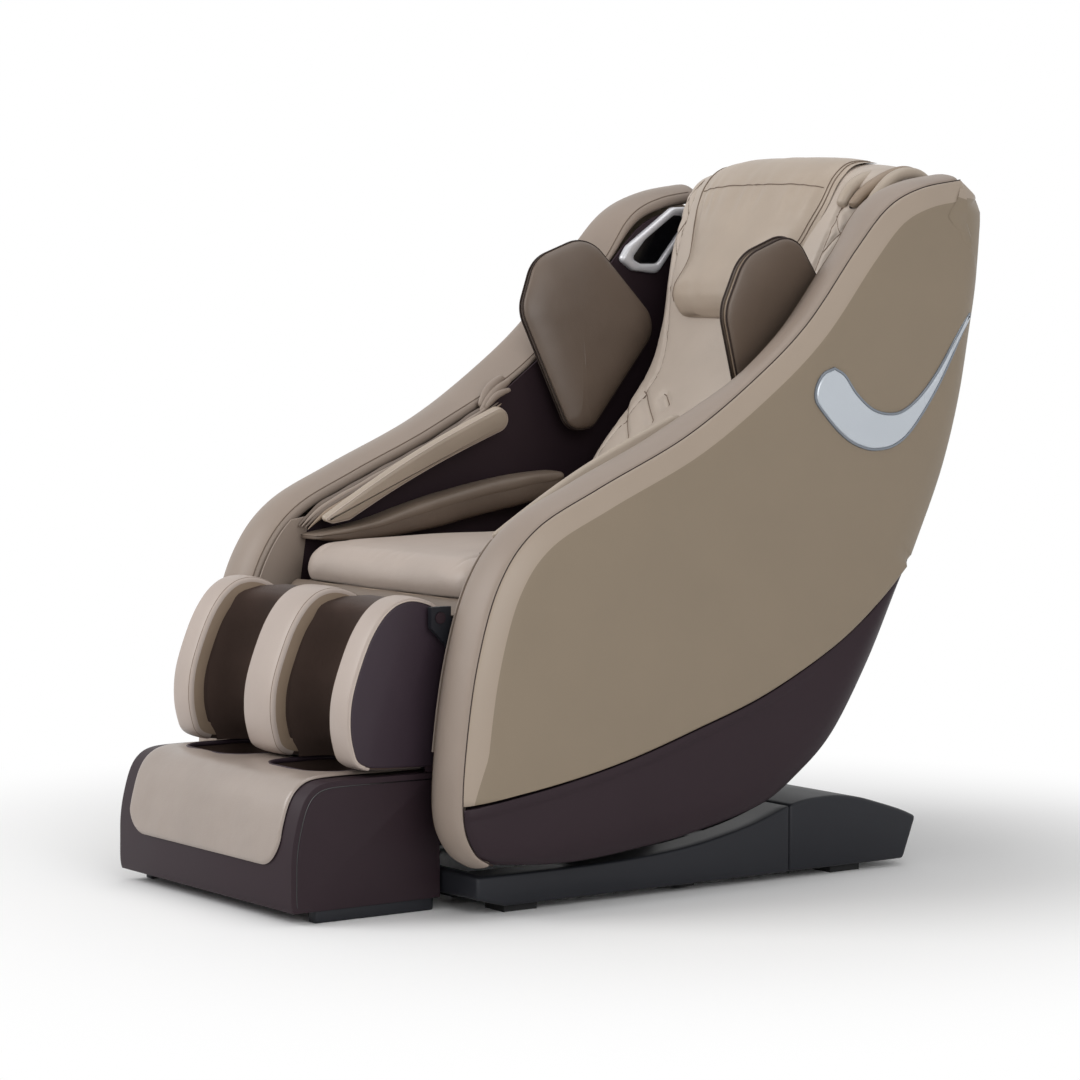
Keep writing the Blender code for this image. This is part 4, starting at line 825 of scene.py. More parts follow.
BACK_STATIONS = [
    # front point, rear point, half width
    ((0.232, 0.508), (0.340, 0.486), 0.198),
    ((0.205, 0.530), (0.350, 0.505), 0.214),
    ((0.207, 0.585), (0.372, 0.575), 0.216),
    ((0.238, 0.660), (0.394, 0.655), 0.212),
    ((0.303, 0.738), (0.418, 0.735), 0.203),
    ((0.370, 0.815), (0.443, 0.815), 0.205),
    ((0.409, 0.900), (0.470, 0.900), 0.215),
    ((0.434, 0.975), (0.494, 0.980), 0.236),
    ((0.460, 1.040), (0.515, 1.045), 0.254),
    ((0.484, 1.092), (0.540, 1.082), 0.260),
    ((0.506, 1.136), (0.560, 1.094), 0.260),
    ((0.535, 1.162), (0.582, 1.104), 0.258),
    ((0.580, 1.168), (0.606, 1.122), 0.256),
    ((0.616, 1.163), (0.620, 1.130), 0.248),
]


def ring_about(half, front, rear, count, power):
    middle, depth = (front + rear) / 2, (front - rear) / 2
    ring = []
    for angle in turns(count):
        c, s = math.cos(angle), math.sin(angle)
        across = half * math.copysign(abs(c) ** (2 / power), c)
        along = math.copysign(abs(s) ** (2 / power), s)
        ring.append(Vector((across, middle.x + depth.x * along, middle.y + depth.y * along)))
    return ring


def crease(point, lines):
    """How deep the sewn lines press at a (x, z) spot."""
    deep = 0.0
    for ax, az, bx, bz, width, depth in lines:
        a, b = Vector((ax, az)), Vector((bx, bz))
        along = b - a
        share = max(0.0, min(1.0, (point - a).dot(along) / along.length_squared))
        gap = (a + along * share - point).length
        fade = min(1.0, 6 * min(share + 0.08, 1.08 - share))
        deep = max(deep, depth * fade * math.exp(-(gap / width) ** 2))
    return deep


def back_lines():
    """Sewn lines of the back: contour by each side, pleats at the loins, quilting by the head."""
    lines = []
    for side in (-1, 1):
        contour = [(0.168, 0.52), (0.172, 0.60), (0.160, 0.68), (0.140, 0.75), (0.138, 0.81),
                   (0.160, 0.88), (0.190, 0.96), (0.205, 1.06), (0.214, 1.15)]
        for (x0, z0), (x1, z1) in zip(contour, contour[1:]):
            lines.append((side * x0, z0, side * x1, z1, 0.0040, 0.0055))
        for x0, z0, x1, z1 in ((0.176, 0.752, 0.096, 0.700), (0.146, 0.780, 0.058, 0.730),
                               (0.080, 0.777, 0.046, 0.758)):
            lines.append((side * x0, z0, side * x1, z1, 0.0080, 0.0100))
        for x0, z0, x1, z1 in ((0.198, 1.015, 0.250, 1.085), (0.250, 1.010, 0.205, 1.080),
                               (0.206, 1.085, 0.254, 1.150), (0.254, 1.085, 0.214, 1.150)):
            lines.append((side * x0, z0, side * x1, z1, 0.0040, 0.0045))
    return lines


def back_pad():
    fronts = spline([s[0] for s in BACK_STATIONS], 72)
    lengths = [0.0]
    for a, b in zip(BACK_STATIONS, BACK_STATIONS[1:]):
        lengths.append(lengths[-1] + (Vector(b[0]) - Vector(a[0])).length)
    marks = [v / lengths[-1] for v in lengths]
    rings = []
    for index, front in enumerate(fronts):
        t = index / 71
        rear = along_line(marks, [s[1] for s in BACK_STATIONS], t)
        half = float(np.interp(t, marks, [s[2] for s in BACK_STATIONS]))
        rings.append(ring_about(half - 0.004, front, rear, 72, 3.4))
    # The back's leather carries painted light: its colour is lightened for the light on the back.
    pad = skin("back_pad", rings, PAINTED_LIGHT_BACK_SKIN, closed=True, capped=True, smooth_angle=80)
    pad = puffed(pad, 2.0, 0.006)
    lines = back_lines()

    def press(point, normal):
        facing = max(0.0, -normal.y) ** 0.5
        deep = crease(Vector((point.x, point.z)), lines) * facing
        soft = noise.noise(point * 11) * 0.0016 * facing
        return point - normal * (deep - soft)

    pad = shape(pad, press)
    hull = BVHTree.FromPolygons([v.co.copy() for v in pad.data.vertices],
                                [tuple(p.vertices) for p in pad.data.polygons])
    threads = []
    for ax, az, bx, bz, width, _ in lines:
        steps = max(3, int(math.hypot(bx - ax, bz - az) / 0.006))
        run = []
        for k in range(steps + 1):
            x, z = ax + (bx - ax) * k / steps, az + (bz - az) * k / steps
            hit = hull.ray_cast(Vector((x, 0.10, z)), Vector((0, 1, 0)))[0]
            if hit is not None:
                run.append(tuple(hit + Vector((0, 0.0002, 0))))
        if len(run) > 3:
            threads.append(tube("thread", run, 0.0010 if width < 0.005 else 0.0014, THREAD))
    place(pad, "capsule", "back_cushion")
    place(joined("back_threads", *threads), "capsule")


PILLOW_HALVES = [(0.896, 0.095), (0.905, 0.118), (0.925, 0.134), (0.960, 0.142), (1.010, 0.150),
                 (1.050, 0.166), (1.090, 0.180), (1.130, PILLOW_HALF - 0.004),
                 (1.172, PILLOW_HALF - 0.002)]
PILLOW_DEPTH = [(0, 0.010), (0.03, 0.026), (0.09, 0.037), (0.16, 0.040), (0.25, 0.037),
                (0.45, 0.034), (0.62, 0.030), (0.70, 0.026), (0.85, 0.017), (1, 0.010)]


def head_pillow():
    """Crowned flap hung over the top of the back, rolled at its lower end."""
    fronts = spline([s[0] for s in BACK_STATIONS], 400)
    path = even([p for p in fronts if p.y > 0.905 and p.x < 0.594], 44)
    normals = [Vector((-d.y, d.x)) for d in directions(path)]

    def surface(index, across):
        """Height above the back at a share across from the middle, crowned toward the edges."""
        t = index / 43
        depth = table(PILLOW_DEPTH, t)
        crown = (1 - 0.93 * ramp(t, 0.10, 0.34) * abs(across) ** 3.4)
        ease = max(0.02, 1 - abs(across) ** 14) ** 0.5
        gather = math.sin(across * 31 + 2.0 * math.sin(across * 9)) * 0.0016
        gather *= math.exp(-((t - 0.615) / 0.10) ** 2)
        roll = 0.0012 * noise.noise(Vector((across * 5, t * 14, 0.3)))
        return 0.0030 + depth * crown * ease + gather + roll

    rows = []
    for index, (spot, out) in enumerate(zip(path, normals)):
        half = table(PILLOW_HALVES, spot.y)
        under = [Vector((half * k, *(spot + out * 0.0028))) for k in (0.94, 0.5, 0, -0.5, -0.94)]
        over = []
        for step in range(61):
            across = math.sin(math.pi / 2 * (step - 30) / 30)
            at = spot + out * surface(index, across)
            over.append(Vector((half * across, at.x, at.y)))
        rows.append(over + under)
    pad = skin("pillow_pad", rows, PILLOW_SKIN, closed=True, capped=True, smooth_angle=75)
    place(subdivide(pad), "pillow", "head_pillow")
    k = min(range(44), key=lambda n: abs(path[n].y - 1.124) + 9 * (path[n].x > 0.53))
    seam = []
    for step in range(49):
        across = 0.88 * (step - 24) / 24
        at = path[k] + normals[k] * (surface(k, across) + 0.0002)
        seam.append((across * table(PILLOW_HALVES, path[k].y), at.x, at.y))
    place(tube("pillow_seam_0", seam, 0.0010, THREAD), "pillow")
    for index, share in enumerate((0.915, 0.950)):
        for side, word in reversed(SIDES):
            line = []
            for k, (spot, out) in enumerate(zip(path, normals)):
                at = spot + out * (surface(k, side * share) + 0.0003)
                line.append((side * share * table(PILLOW_HALVES, spot.y), at.x, at.y))
            place(tube(f"pillow_stitch_{index}_{word}", line[3:-2], 0.0010, THREAD), "pillow")


def head_folds():
    """Folded leather between the head and the shell, on the sitter's left only."""
    folds = []
    for x0, x1, rise, radius, look in ((0.214, 0.226, 0.006, 0.0150, BEIGE_SKIN),
                                       (0.232, 0.246, -0.004, 0.0060, PIPING_DARK),
                                       (0.242, 0.258, 0.002, 0.0140, TAN_SKIN),
                                       (0.258, 0.272, -0.006, 0.0060, PIPING_DARK),
                                       (0.268, 0.286, -0.002, 0.0140, BEIGE_SKIN)):
        line = spline([(0.488, 1.092), (0.512, 1.122), (0.546, 1.143), (0.590, 1.149),
                       (0.624, 1.136)], 26)
        outs = [b - a for a, b in zip(line, left_of(line, 1.0))]
        rows = []
        for index, (spot, out) in enumerate(zip(line, outs)):
            t = index / 25
            size = radius * (0.35 + 0.65 * math.sin(math.pi * (0.12 + 0.80 * t)) ** 0.5)
            x = x0 + (x1 - x0) * t
            centre = spot + out * (rise + 0.004 * math.sin(7 * t + x0 * 60))
            rows.append([Vector((x + 0.95 * size * math.cos(a),
                                 *(centre + out * 0.8 * size * math.sin(a))))
                         for a in turns(14)])
        folds.append(fold(rows, look))
    place(joined("head_folds_left", *folds), "capsule")


# ---------------------------------------------------------------- shoulder pads

SHOULDER_TURN = math.radians(6)
SHOULDER_LEAN = math.radians(7)
SHOULDER_CENTRE = (0.267, 0.319, 0.882)
SHOULDER_OUTLINE = [(0.004, 0.172, 0.060), (-0.132, 0.012, 0.050), (0.016, -0.168, 0.032),
                    (0.062, -0.175, 0.030), (0.146, 0.040, 0.062), (0.112, 0.130, 0.066)]


def shoulder_frame():
    level = Vector((-math.cos(SHOULDER_TURN), -math.sin(SHOULDER_TURN), 0))
    upright = Vector((0, 0, 1))
    cosine, sine = math.cos(SHOULDER_LEAN), math.sin(SHOULDER_LEAN)
    place_at = Matrix.Identity(4)
    place_at.col[0] = (math.sin(SHOULDER_TURN), -math.cos(SHOULDER_TURN), 0, 0)
    place_at.col[1] = (*(upright * cosine - level * sine), 0)
    place_at.col[2] = (*(level * cosine + upright * sine), 0)
    place_at.col[3] = (*SHOULDER_CENTRE, 1)
    return place_at


PARALLEL_INSET = 0.030      # further in, a padded form closes toward its middle


def layered(name, outline, layers, at, look):
    """A padded form: the outline moved in by each layer's inset at that layer's height."""
    rows = []
    middle = sum(outline, Vector((0, 0))) / len(outline)
    for inset, height in layers:
        ring = grown(outline, -min(inset, PARALLEL_INSET))
        if inset > PARALLEL_INSET:
            ring = [p.lerp(middle, (inset - PARALLEL_INSET) / 0.09) for p in ring]
        rows.append([at @ Vector((p.x, p.y, height)) for p in ring])
    return skin(name, rows, look, closed=True, capped=True, smooth_angle=80)


def shoulder_pad():
    """Two air pads one on the other, with dark piping round each and a light band between."""
    outline = rounded(SHOULDER_OUTLINE, 9)
    at = shoulder_frame()
    front = layered("front", outline, [(0.012, 0.004), (0.003, 0.007), (0.0, 0.010),
                                       (0.003, 0.0145), (0.012, 0.0195), (0.030, 0.0245),
                                       (0.060, 0.0275), (0.095, 0.0285)], at, BROWN_SKIN)
    back = layered("back", grown(outline, -0.001),
                   [(0.095, -0.0120), (0.060, -0.0120), (0.030, -0.0118), (0.010, -0.0108),
                    (0.002, -0.0085), (0.0, -0.005), (0.003, -0.001), (0.010, 0.001)], at,
                   BROWN_SKIN)
    core = layered("core", grown(outline, -0.003), [(0.010, -0.004), (0.0, -0.001),
                                                    (0.0, 0.004), (0.010, 0.006)], at, TAN_SKIN)
    cords = []
    for height, grow in ((0.0080, 0.0002), (-0.0042, -0.0008)):
        ring = [at @ Vector((p.x, p.y, height)) for p in grown(outline, grow)]
        cords.append(tube("cord", ring, 0.0016, PIPING_DARK, closed=True))
    pad = joined("shoulder", subdivide(front), subdivide(back), core, *cords)
    both(pad, "shoulder_{}", "shoulder_pad")


# ---------------------------------------------------------------- arms

ARM_HINGE = ((-0.256, 0.574), (0.112, 0.760))
FLAP_DROPS = [(0.0, 0.0, 0.005), (0.0, 0.0, 0.022), (0.010, 0.048, 0.022),
              (0.052, 0.035, 0.020), (0.018, 0.020, 0.008)]


def rim_return():
    """Wide leather face inside the front of each rim."""
    edge = [p for p in left_of(seam_points(220), -0.006) if 0.25 < p.y < 0.574 and p.x < -0.15]
    inner = [Vector(p) for p in ((-0.2480, 0.5780), (-0.2547, 0.5500), (-0.2629, 0.4946),
                                 (-0.2685, 0.4600), (-0.2690, 0.2500))]
    made = prism("rim_return", edge + inner, LINER_X - 0.0034, LINER_X - 0.0004, RIM_SKIN,
                 bevel=0.0012)
    both(made, "capsule")


def arm_roll():
    """Four soft folds side by side under the rim's inner edge."""
    line = even([p for p in seam_points(300) if p.y > 0.576 and p.x < 0.112], 60)
    low = left_of(line, -1.0)
    folds = []
    for inward, lift, radius, look in ((0.0090, -0.0215, 0.0085, BROWN_SKIN),
                                       (0.0190, -0.0215, 0.0062, RIM_SKIN),
                                       (0.0250, -0.0250, 0.0060, BROWN_SKIN),
                                       (0.0320, -0.0275, 0.0052, TAN_SKIN)):
        rows = []
        for index, (seam, inner) in enumerate(zip(line, low)):
            out = seam - inner
            end = min(1.0, 0.15 + min(index, 59 - index) / 9)
            size = radius * end * (1 + 0.07 * math.sin(index * 0.7 + inward * 900))
            rows.append([Vector((LINER_X - inward - 0.9 * size * math.cos(a),
                                 *(seam + out * (lift + size * math.sin(a)))))
                         for a in turns(12)])
        folds.append(fold(rows, look))
    both(joined("arm_roll_pad", *folds), "capsule", "arm_roll")


def arm_collar():
    """Short gathered folds where the leather of the sitter's right arm ends."""
    folds = []
    for (y0, z0), (y1, z1), inward, radius in (((0.096, 0.754), (0.146, 0.806), 0.006, 0.0105),
                                               ((0.092, 0.744), (0.154, 0.800), 0.014, 0.0085),
                                               ((0.098, 0.752), (0.150, 0.784), 0.021, 0.0065)):
        start, end = Vector((y0, z0)), Vector((y1, z1))
        along = (end - start).normalized()
        across = Vector((-along.y, along.x))
        rows = []
        for index in range(15):
            t = index / 14
            size = radius * (0.25 + 0.75 * math.sin(math.pi * (0.08 + 0.84 * t)) ** 0.6)
            bend = 0.006 * math.sin(math.pi * t)
            middle = start.lerp(end, t) + across * bend
            rows.append([Vector((inward - LINER_X + 0.7 * size * math.cos(a),
                                 *(middle + across * size * math.sin(a))))
                         for a in turns(12)])
        folds.append(fold(rows, RIM_SKIN))
    place(joined("arm_collar_right", *folds), "capsule")


def arm_flap():
    """Upper arm pad: light leather with rounded ends and piping along its lower edge."""
    start, end = (Vector(p) for p in ARM_HINGE)
    along = (end - start).normalized()
    drop = Vector((along.y, -along.x))
    length = (end - start).length
    outline = rounded([(a + (length if index in (1, 2) else 0.0), b, radius)
                       for index, (a, b, radius) in enumerate(FLAP_DROPS)], 8)
    outline = even_ring(outline, 240)
    outline = [p - Vector((0, 0.011 * math.sin(math.pi * max(0.0, min(1.0, p.x / length)))))
               for p in outline]
    at = Matrix.Identity(4)
    at.col[0] = (0, along.x, along.y, 0)
    at.col[1] = (0.30, drop.x * 0.954, drop.y * 0.954, 0)
    at.col[2] = (-0.954, drop.x * 0.30, drop.y * 0.30, 0)
    at.col[3] = (0.250, start.x, start.y, 1)
    pad = layered("flap", outline, [(0.0080, -0.0098), (0.0030, -0.0080), (0.0004, -0.0040),
                                    (0.0, 0.0), (0.0006, 0.0035), (0.0024, 0.0068),
                                    (0.0052, 0.0090), (0.0080, 0.0100)], at, BEIGE_SKIN)
    ring = [at @ Vector((p.x, p.y, 0.0062)) for p in grown(outline, -0.0022)]
    cord = tube("cord", ring, 0.0011, PIPING_LIGHT, closed=True)
    both(joined("arm_flap", pad, cord), "arm_airbag_{}",
         "arm_airbag")


def arm_rest():
    """Lower arm pad with lengthwise folds, lighter along its top edge."""
    top = spline([(-0.270, 0.550), (-0.160, 0.567), (-0.055, 0.597), (0.060, 0.622),
                  (0.150, 0.636), (0.240, 0.643)], 56)
    bottom = spline([(-0.270, 0.5365), (-0.158, 0.5355), (-0.041, 0.548), (0.060, 0.566),
                     (0.150, 0.582), (0.240, 0.603)], 56)
    parts = []
    for low_share, high_share, reach, look in ((0.0, 1.0, 0.0300, BROWN_SKIN),
                                               (0.50, 1.02, 0.0312, ARM_SKIN)):
        rows = []
        for index, (crest, floor) in enumerate(zip(top, bottom)):
            low = floor.lerp(crest, low_share)
            high = floor.lerp(crest, high_share)
            middle, rise = (high + low) / 2, (high.y - low.y) / 2
            end = min(1.0, 0.4 + index / 6, 0.62 + (55 - index) / 5)
            row = []
            for step, angle in enumerate(turns(24)):
                c, s = math.cos(angle), math.sin(angle)
                wave = 1.0 + 0.05 * noise.noise(Vector((index * 0.16, step * 0.3, reach * 90)))
                x = LINER_X - 0.0325 + reach * math.copysign(abs(c) ** 0.6, c) * wave
                row.append(Vector((x, middle.x, middle.y + rise * end * wave
                                   * math.copysign(abs(s) ** 0.75, s))))
            rows.append(row)
        parts.append(fold(rows, look))
    both(joined("arm_rest_pad", *parts), "capsule", "arm_pad")


# ---------------------------------------------------------------- seat


def seat():
    outline = rounded([(-SEAT_HALF, SEAT_FRONT, 0.045), (SEAT_HALF, SEAT_FRONT, 0.045),
                       (SEAT_HALF - 0.006, SEAT_REAR, 0.050),
                       (-SEAT_HALF + 0.006, SEAT_REAR, 0.050)], 10)
    outline = even_ring(outline, 120)
    layers = [(inset, SEAT_LOW + rise) for inset, rise in (
        (0.060, 0.001), (0.016, 0.001), (0.005, 0.005), (0.001, 0.014), (0.0, 0.024),
        (0.002, 0.036), (0.008, 0.047), (0.019, 0.057), (0.030, 0.063), (0.045, 0.070),
        (0.065, 0.076), (0.085, 0.081), (0.105, 0.084))]
    pad = layered("seat_pad", outline, layers, Matrix.Identity(4), SEAT_SKIN)
    pad = puffed(pad, 2.0, 0.004)
    lines = []
    for side in (-1, 1):
        lines += [(side * 0.20, SEAT_FRONT + 0.02, side * 0.185, 0.10, 0.005, 0.004),
                  (side * 0.10, 0.03, side * 0.16, 0.12, 0.008, 0.004),
                  (side * 0.17, 0.02, side * 0.21, -0.06, 0.008, 0.004)]

    def press(point, normal):
        top = max(0.0, normal.z)
        deep = crease(Vector((point.x, point.y)), lines) * top
        soft = noise.noise(point * 12) * 0.0012
        return point - normal * (deep - soft)

    pad = shape(pad, press)
    place(pad, "capsule", "seat_cushion")
    low_ring = [Vector((p.x, p.y, SEAT_LOW + 0.004)) for p in grown(outline, -0.005)]
    place(tube("seat_piping_low", low_ring, 0.0016, TAN_SKIN, closed=True), "capsule")
    base = round_box(-0.2545, -0.2795, 0.2545, 0.1795, 0.030, 5)
    low, high = corner("seat_base", 0, 2), corner("seat_base", 1, 2)
    skirt = prism("seat_skirt", base, low, high - 0.0005, BROWN_SKIN, plane="XY", bevel=0.008)
    place(skirt, "capsule", "seat_base")
    gusset = prism("seat_gusset", rectangle(0.2600, -0.300, LINER_X - 0.0006, 0.360), 0.440,
                   0.4455, FABRIC, plane="XY")
    both(gusset, "capsule")
    fall = [(-0.294, 0.4755), (-0.303, 0.4700), (-0.309, 0.4610), (-0.317, 0.4560),
            (-0.326, 0.4545)]
    rows = [[Vector((x, p.x, p.y + 0.0015 * noise.noise(Vector((x * 16, p.x * 30, 2)))))
             for x in np.linspace(-0.262, 0.262, 50)] for p in spline(fall, 14)]
    apron = thicken(skin("seat_apron", rows, ARM_SKIN, smooth_angle=80), 0.003)
    place(apron, "capsule")


# ---------------------------------------------------------------- calf rest

CALF_REAR = corner("calf_fin_left", 1, 1)
FIN_FRONT = [(-0.4620, 0.2225), (-0.4900, 0.2255), (-0.5095, 0.2335), (-0.5205, 0.2500),
             (-0.5285, 0.2920), (-0.5235, 0.3450), (-0.4980, 0.4140), (-0.4720, 0.4560),
             (-0.4450, 0.4790), (-0.4180, 0.4868), (-0.3940, 0.4845), (-0.3720, 0.4765),
             (-0.3580, 0.4670)]
FIN_BACK = [(-0.3470, 0.4560), (-0.3430, 0.4420), (CALF_REAR, 0.4405), (CALF_REAR, 0.2225)]


def strip(name, line, section, look):
    """A closed section swept along a fin's front edge: points are (x, depth behind the edge)."""
    inner = left_of(line, -1.0)
    rows = [[Vector((x, *(spot + (other - spot) * deep))) for x, deep in section]
            for spot, other in zip(line, inner)]
    return skin(name, rows, look, closed=True, capped=True, smooth_angle=60)


def calf_fins():
    line = spline(FIN_FRONT, 90)
    rear = [Vector(p) for p in FIN_BACK]
    outline = left_of(line, -0.0012) + rear
    for stem, low, high, outer in (("left", CALF_HALF - FIN_WIDTH, CALF_HALF, 1),
                                   ("middle", -MID_FIN_HALF, MID_FIN_HALF, 0),
                                   ("right", -CALF_HALF, -CALF_HALF + FIN_WIDTH, -1)):
        core = prism("core", outline, low + 0.0012, high - 0.0012, FABRIC, bevel=0.007)
        round_low = 0.0045 if outer < 0 else 0.0080
        round_high = 0.0045 if outer > 0 else 0.0080
        section = [(low, round_low)]
        section += [(low + round_low * (1 - math.cos(a)), round_low * (1 - math.sin(a)))
                    for a in (math.pi * k / 12 for k in range(1, 6))]
        section += [(low + (high - low) * t, -0.0012 * math.sin(math.pi * t))
                    for t in (0.2, 0.35, 0.5, 0.65, 0.8)]
        section += [(high - round_high * (1 - math.cos(a)), round_high * (1 - math.sin(a)))
                    for a in (math.pi * k / 12 for k in range(5, 0, -1))]
        section += [(high, round_high), (high - 0.003, round_high + 0.001),
                    (high - 0.010, 0.0030), (low + 0.010, 0.0030),
                    (low + 0.003, round_low + 0.001)]
        parts = [core, strip("band", line[6:], section, CALF_SKIN)]
        for x, way, at_outer in ((low, 1, outer < 0), (high, -1, outer > 0)):
            if at_outer:
                continue
            tan = [(x - way * 0.0001, 0.0080), (x - way * 0.0004, 0.0140),
                   (x - way * 0.0004, 0.0210), (x + way * 0.0004, 0.0262),
                   (x + way * 0.0030, 0.0270), (x + way * 0.0030, 0.0070)]
            parts.append(strip("tan", line[4:-2], tan, TAN_SKIN))
            seam = [(x + way * 0.0052, *p) for p in left_of(line, -0.0012)[8:]]
            parts.append(tube("stitch", seam, 0.0009, THREAD))
        if outer:
            x0, x1 = sorted((outer * (CALF_HALF - 0.020), outer * (CALF_HALF + 0.0010)))
            side = left_of(line, -0.0050) + [Vector((-0.3460, 0.4540)),
                                             Vector((-0.3440, 0.2228))]
            parts.append(prism("flank", side, x0, x1, AUBERGINE_SKIN, bevel=0.0045))
            cord = [(outer * (CALF_HALF - 0.0002), *p) for p in left_of(line, -0.0048)[8:]]
            parts.append(tube("cord", cord, 0.0012, PIPING_LIGHT))
        made = joined(f"fin_{stem}", *parts)
        place(made, "calf", f"calf_fin_{stem}")


def fin_reach(z):
    """How far forward the fins reach at a height."""
    line = [Vector(p) for p in FIN_FRONT[2:]]
    return table([(p.y, p.x) for p in line[:8]], z)


def calf_trough():
    """Padded trough between two fins, lined with dark fabric."""
    low, high = MID_FIN_HALF + 0.0004, CALF_HALF - FIN_WIDTH - 0.0004
    middle, half = (low + high) / 2, (high - low) / 2
    rows = []
    heights = list(np.linspace(0.2235, 0.4380, 27)) + [0.4410, 0.4480, 0.4550, 0.4610, 0.4660,
                                                       0.4700, 0.4725]
    for z in heights:
        rear = -0.3460 if z > 0.4400 else CALF_REAR - 0.001
        lip = min(fin_reach(z) + 0.030 + 0.05 * ramp(z, 0.462, 0.482), rear - 0.012)
        deep = min(lip + 0.074 * (1 - 0.75 * ramp(z, 0.40, 0.48)), rear - 0.010)
        row = [Vector((high, rear, z)), Vector((low, rear, z)), Vector((low, lip, z))]
        for step in range(1, 20):
            angle = math.pi * step / 20
            x = middle - (half - 0.001) * math.cos(angle)
            soft = 0.003 * noise.noise(Vector((x * 18, z * 16, 3)))
            row.append(Vector((x, lip + (deep - lip) * math.sin(angle) ** 0.7 + soft, z)))
        row.append(Vector((high, lip, z)))
        rows.append(row)
    made = skin("calf_trough", rows, FABRIC, closed=True, capped=True, smooth_angle=60)
    both(made, "calf", "calf_pad")


# ---------------------------------------------------------------- foot rest

WELL_X = 0.127
WELL_HALF = 0.090
WELL_Y = (-0.552, -0.400)
FOOT_PROFILE = [(-0.6255, 0.0190), (-0.6285, 0.0340), (-0.6285, 0.0700), (-0.6275, 0.1050),
                (-0.6215, 0.1410), (-0.6090, 0.1810), (-0.5930, 0.2025), (-0.5700, 0.2130),
                (-0.5300, 0.2155), (-0.4500, 0.2150), (-0.3620, 0.2140)]


def well_outline(side, grow=0.0):
    low, high = side * WELL_X - WELL_HALF - grow, side * WELL_X + WELL_HALF + grow
    return round_box(low, WELL_Y[0] - grow, high, WELL_Y[1] + grow, 0.05 + grow, 8)


def foot_rest():
    """Dark shell with two lined wells, a parting line near its side edges and a plinth."""
    line = spline(FOOT_PROFILE, 60)
    outline = line + [Vector((-0.3605, 0.2125)), Vector((-0.3605, 0.0195))]
    body = prism("foot_body", outline, -FOOT_HALF, FOOT_HALF, AUBERGINE, bevel=0.0055)
    holes = [prism("hole", well_outline(s, 0.002), 0.03, 0.26, AUBERGINE, plane="XY")
             for s in (-1, 1)]
    body = carve(body, *holes)
    place(body, "foot", "foot_shell")
    parting = left_of(line, -0.0095)
    for side, word in SIDES:
        groove = [(side * (FOOT_HALF - 0.0002), p.x, p.y) for p in parting[1:-1]]
        place(tube(f"foot_parting_{word}", groove, 0.0010, GLOSS), "foot")
    side, inset = FOOT_HALF - 0.004, FOOT_HALF - 0.026
    skids = rounded([(-side, -0.366, 0.012), (-side, -0.584, 0.004), (-inset, -0.584, 0.004),
                     (-inset, -0.500, 0.004), (inset, -0.500, 0.004), (inset, -0.584, 0.004),
                     (side, -0.584, 0.004), (side, -0.366, 0.012)], 5)
    plinth = prism("foot_plinth", skids, 0.0005, 0.0215, BASE_BLACK, plane="XY", bevel=0.001)
    place(plinth, "foot", "foot_tray")
    for s, word in SIDES:
        wall = well_outline(s, -0.0010)
        rows = [[Vector((p.x, p.y, z)) for p in wall] for z in np.linspace(0.041, FOOT_TOP, 8)]
        lining = thicken(skin("lining", rows, FABRIC, closed=True), 0.002, 0)
        lip = tube("lip", [Vector((p.x, p.y, COVER_TOP - 0.0010)) for p in wall], 0.0040,
                   AUBERGINE_SKIN, closed=True)
        place(joined(f"well_lining_{word}", lining, lip), "foot")


LEATHER_HALF = 0.230
LEATHER_LOW = 0.086
LEATHER_CORNER = 0.046


def foot_leather():
    """Leather laid over the front and top of the foot rest, with two openings."""
    path = [p for p in spline(FOOT_PROFILE, 400) if p.y > LEATHER_LOW and p.x < -0.372]
    path = even(path, 76)
    out = [b - a for a, b in zip(path, left_of(path, 1.0))]
    total = sum((b - a).length for a, b in zip(path, path[1:]))
    marks = [total * index / 75 for index in range(76)]
    rows = []
    for step in range(57):
        x = LEATHER_HALF * math.sin(math.pi / 2 * (step - 28) / 28)
        inside = max(0.0, abs(x) - (LEATHER_HALF - LEATHER_CORNER))
        start = LEATHER_CORNER - math.sqrt(max(0.0, LEATHER_CORNER ** 2 - inside ** 2))
        row = []
        for index in range(84):
            share = (index / 83) ** 1.15
            s = start + (total - start) * share
            spot, way = along_line(marks, path, s), along_line(marks, out, s)
            edge = max(0.0, min((s - start) / 0.007, (LEATHER_HALF - abs(x)) / 0.007, 1.0))
            puff = 0.0008 + 0.0026 * math.sqrt(edge * (2 - edge))
            puff += 0.0012 * edge * noise.noise(Vector((x * 13, s * 16, 0.5)))
            puff += 0.0006 * edge * noise.noise(Vector((x * 40, s * 44, 4.5)))
            at = spot + way * puff
            row.append(Vector((x, at.x, at.y)))
        rows.append(row)
    # The cover's leather colour carries a painted highlight on top of its own tone.
    sheet = thicken(skin("foot_leather", rows, COVER_SKIN_PAINTED_HIGHLIGHT, smooth_angle=70), 0.0028, 1)
    holes = [prism("hole", well_outline(s), 0.12, 0.30, COVER_SKIN_PAINTED_HIGHLIGHT, plane="XY")
             for s in (-1, 1)]
    sheet = carve(sheet, *holes)
    smooth(sheet, 50)
    place(sheet, "foot", "foot_cover")


# ---------------------------------------------------------------- base

BASE_TOP = [(BASE_FRONT, 0.0605), (-0.198, 0.0610), (-0.120, 0.0618), (-0.044, 0.0645),
            (0.020, 0.0690), (0.076, 0.0755), (0.140, 0.0870), (0.198, 0.1010),
            (COVER_SPLIT - 0.0008, 0.1215)]
HUMP = [(COVER_SPLIT, 0.1218), (0.285, 0.1270), (0.310, 0.1300), (0.340, 0.1308),
        (0.366, 0.1298), (0.409, 0.1228), (0.452, 0.1105), (0.500, 0.0950), (0.532, 0.0815)]


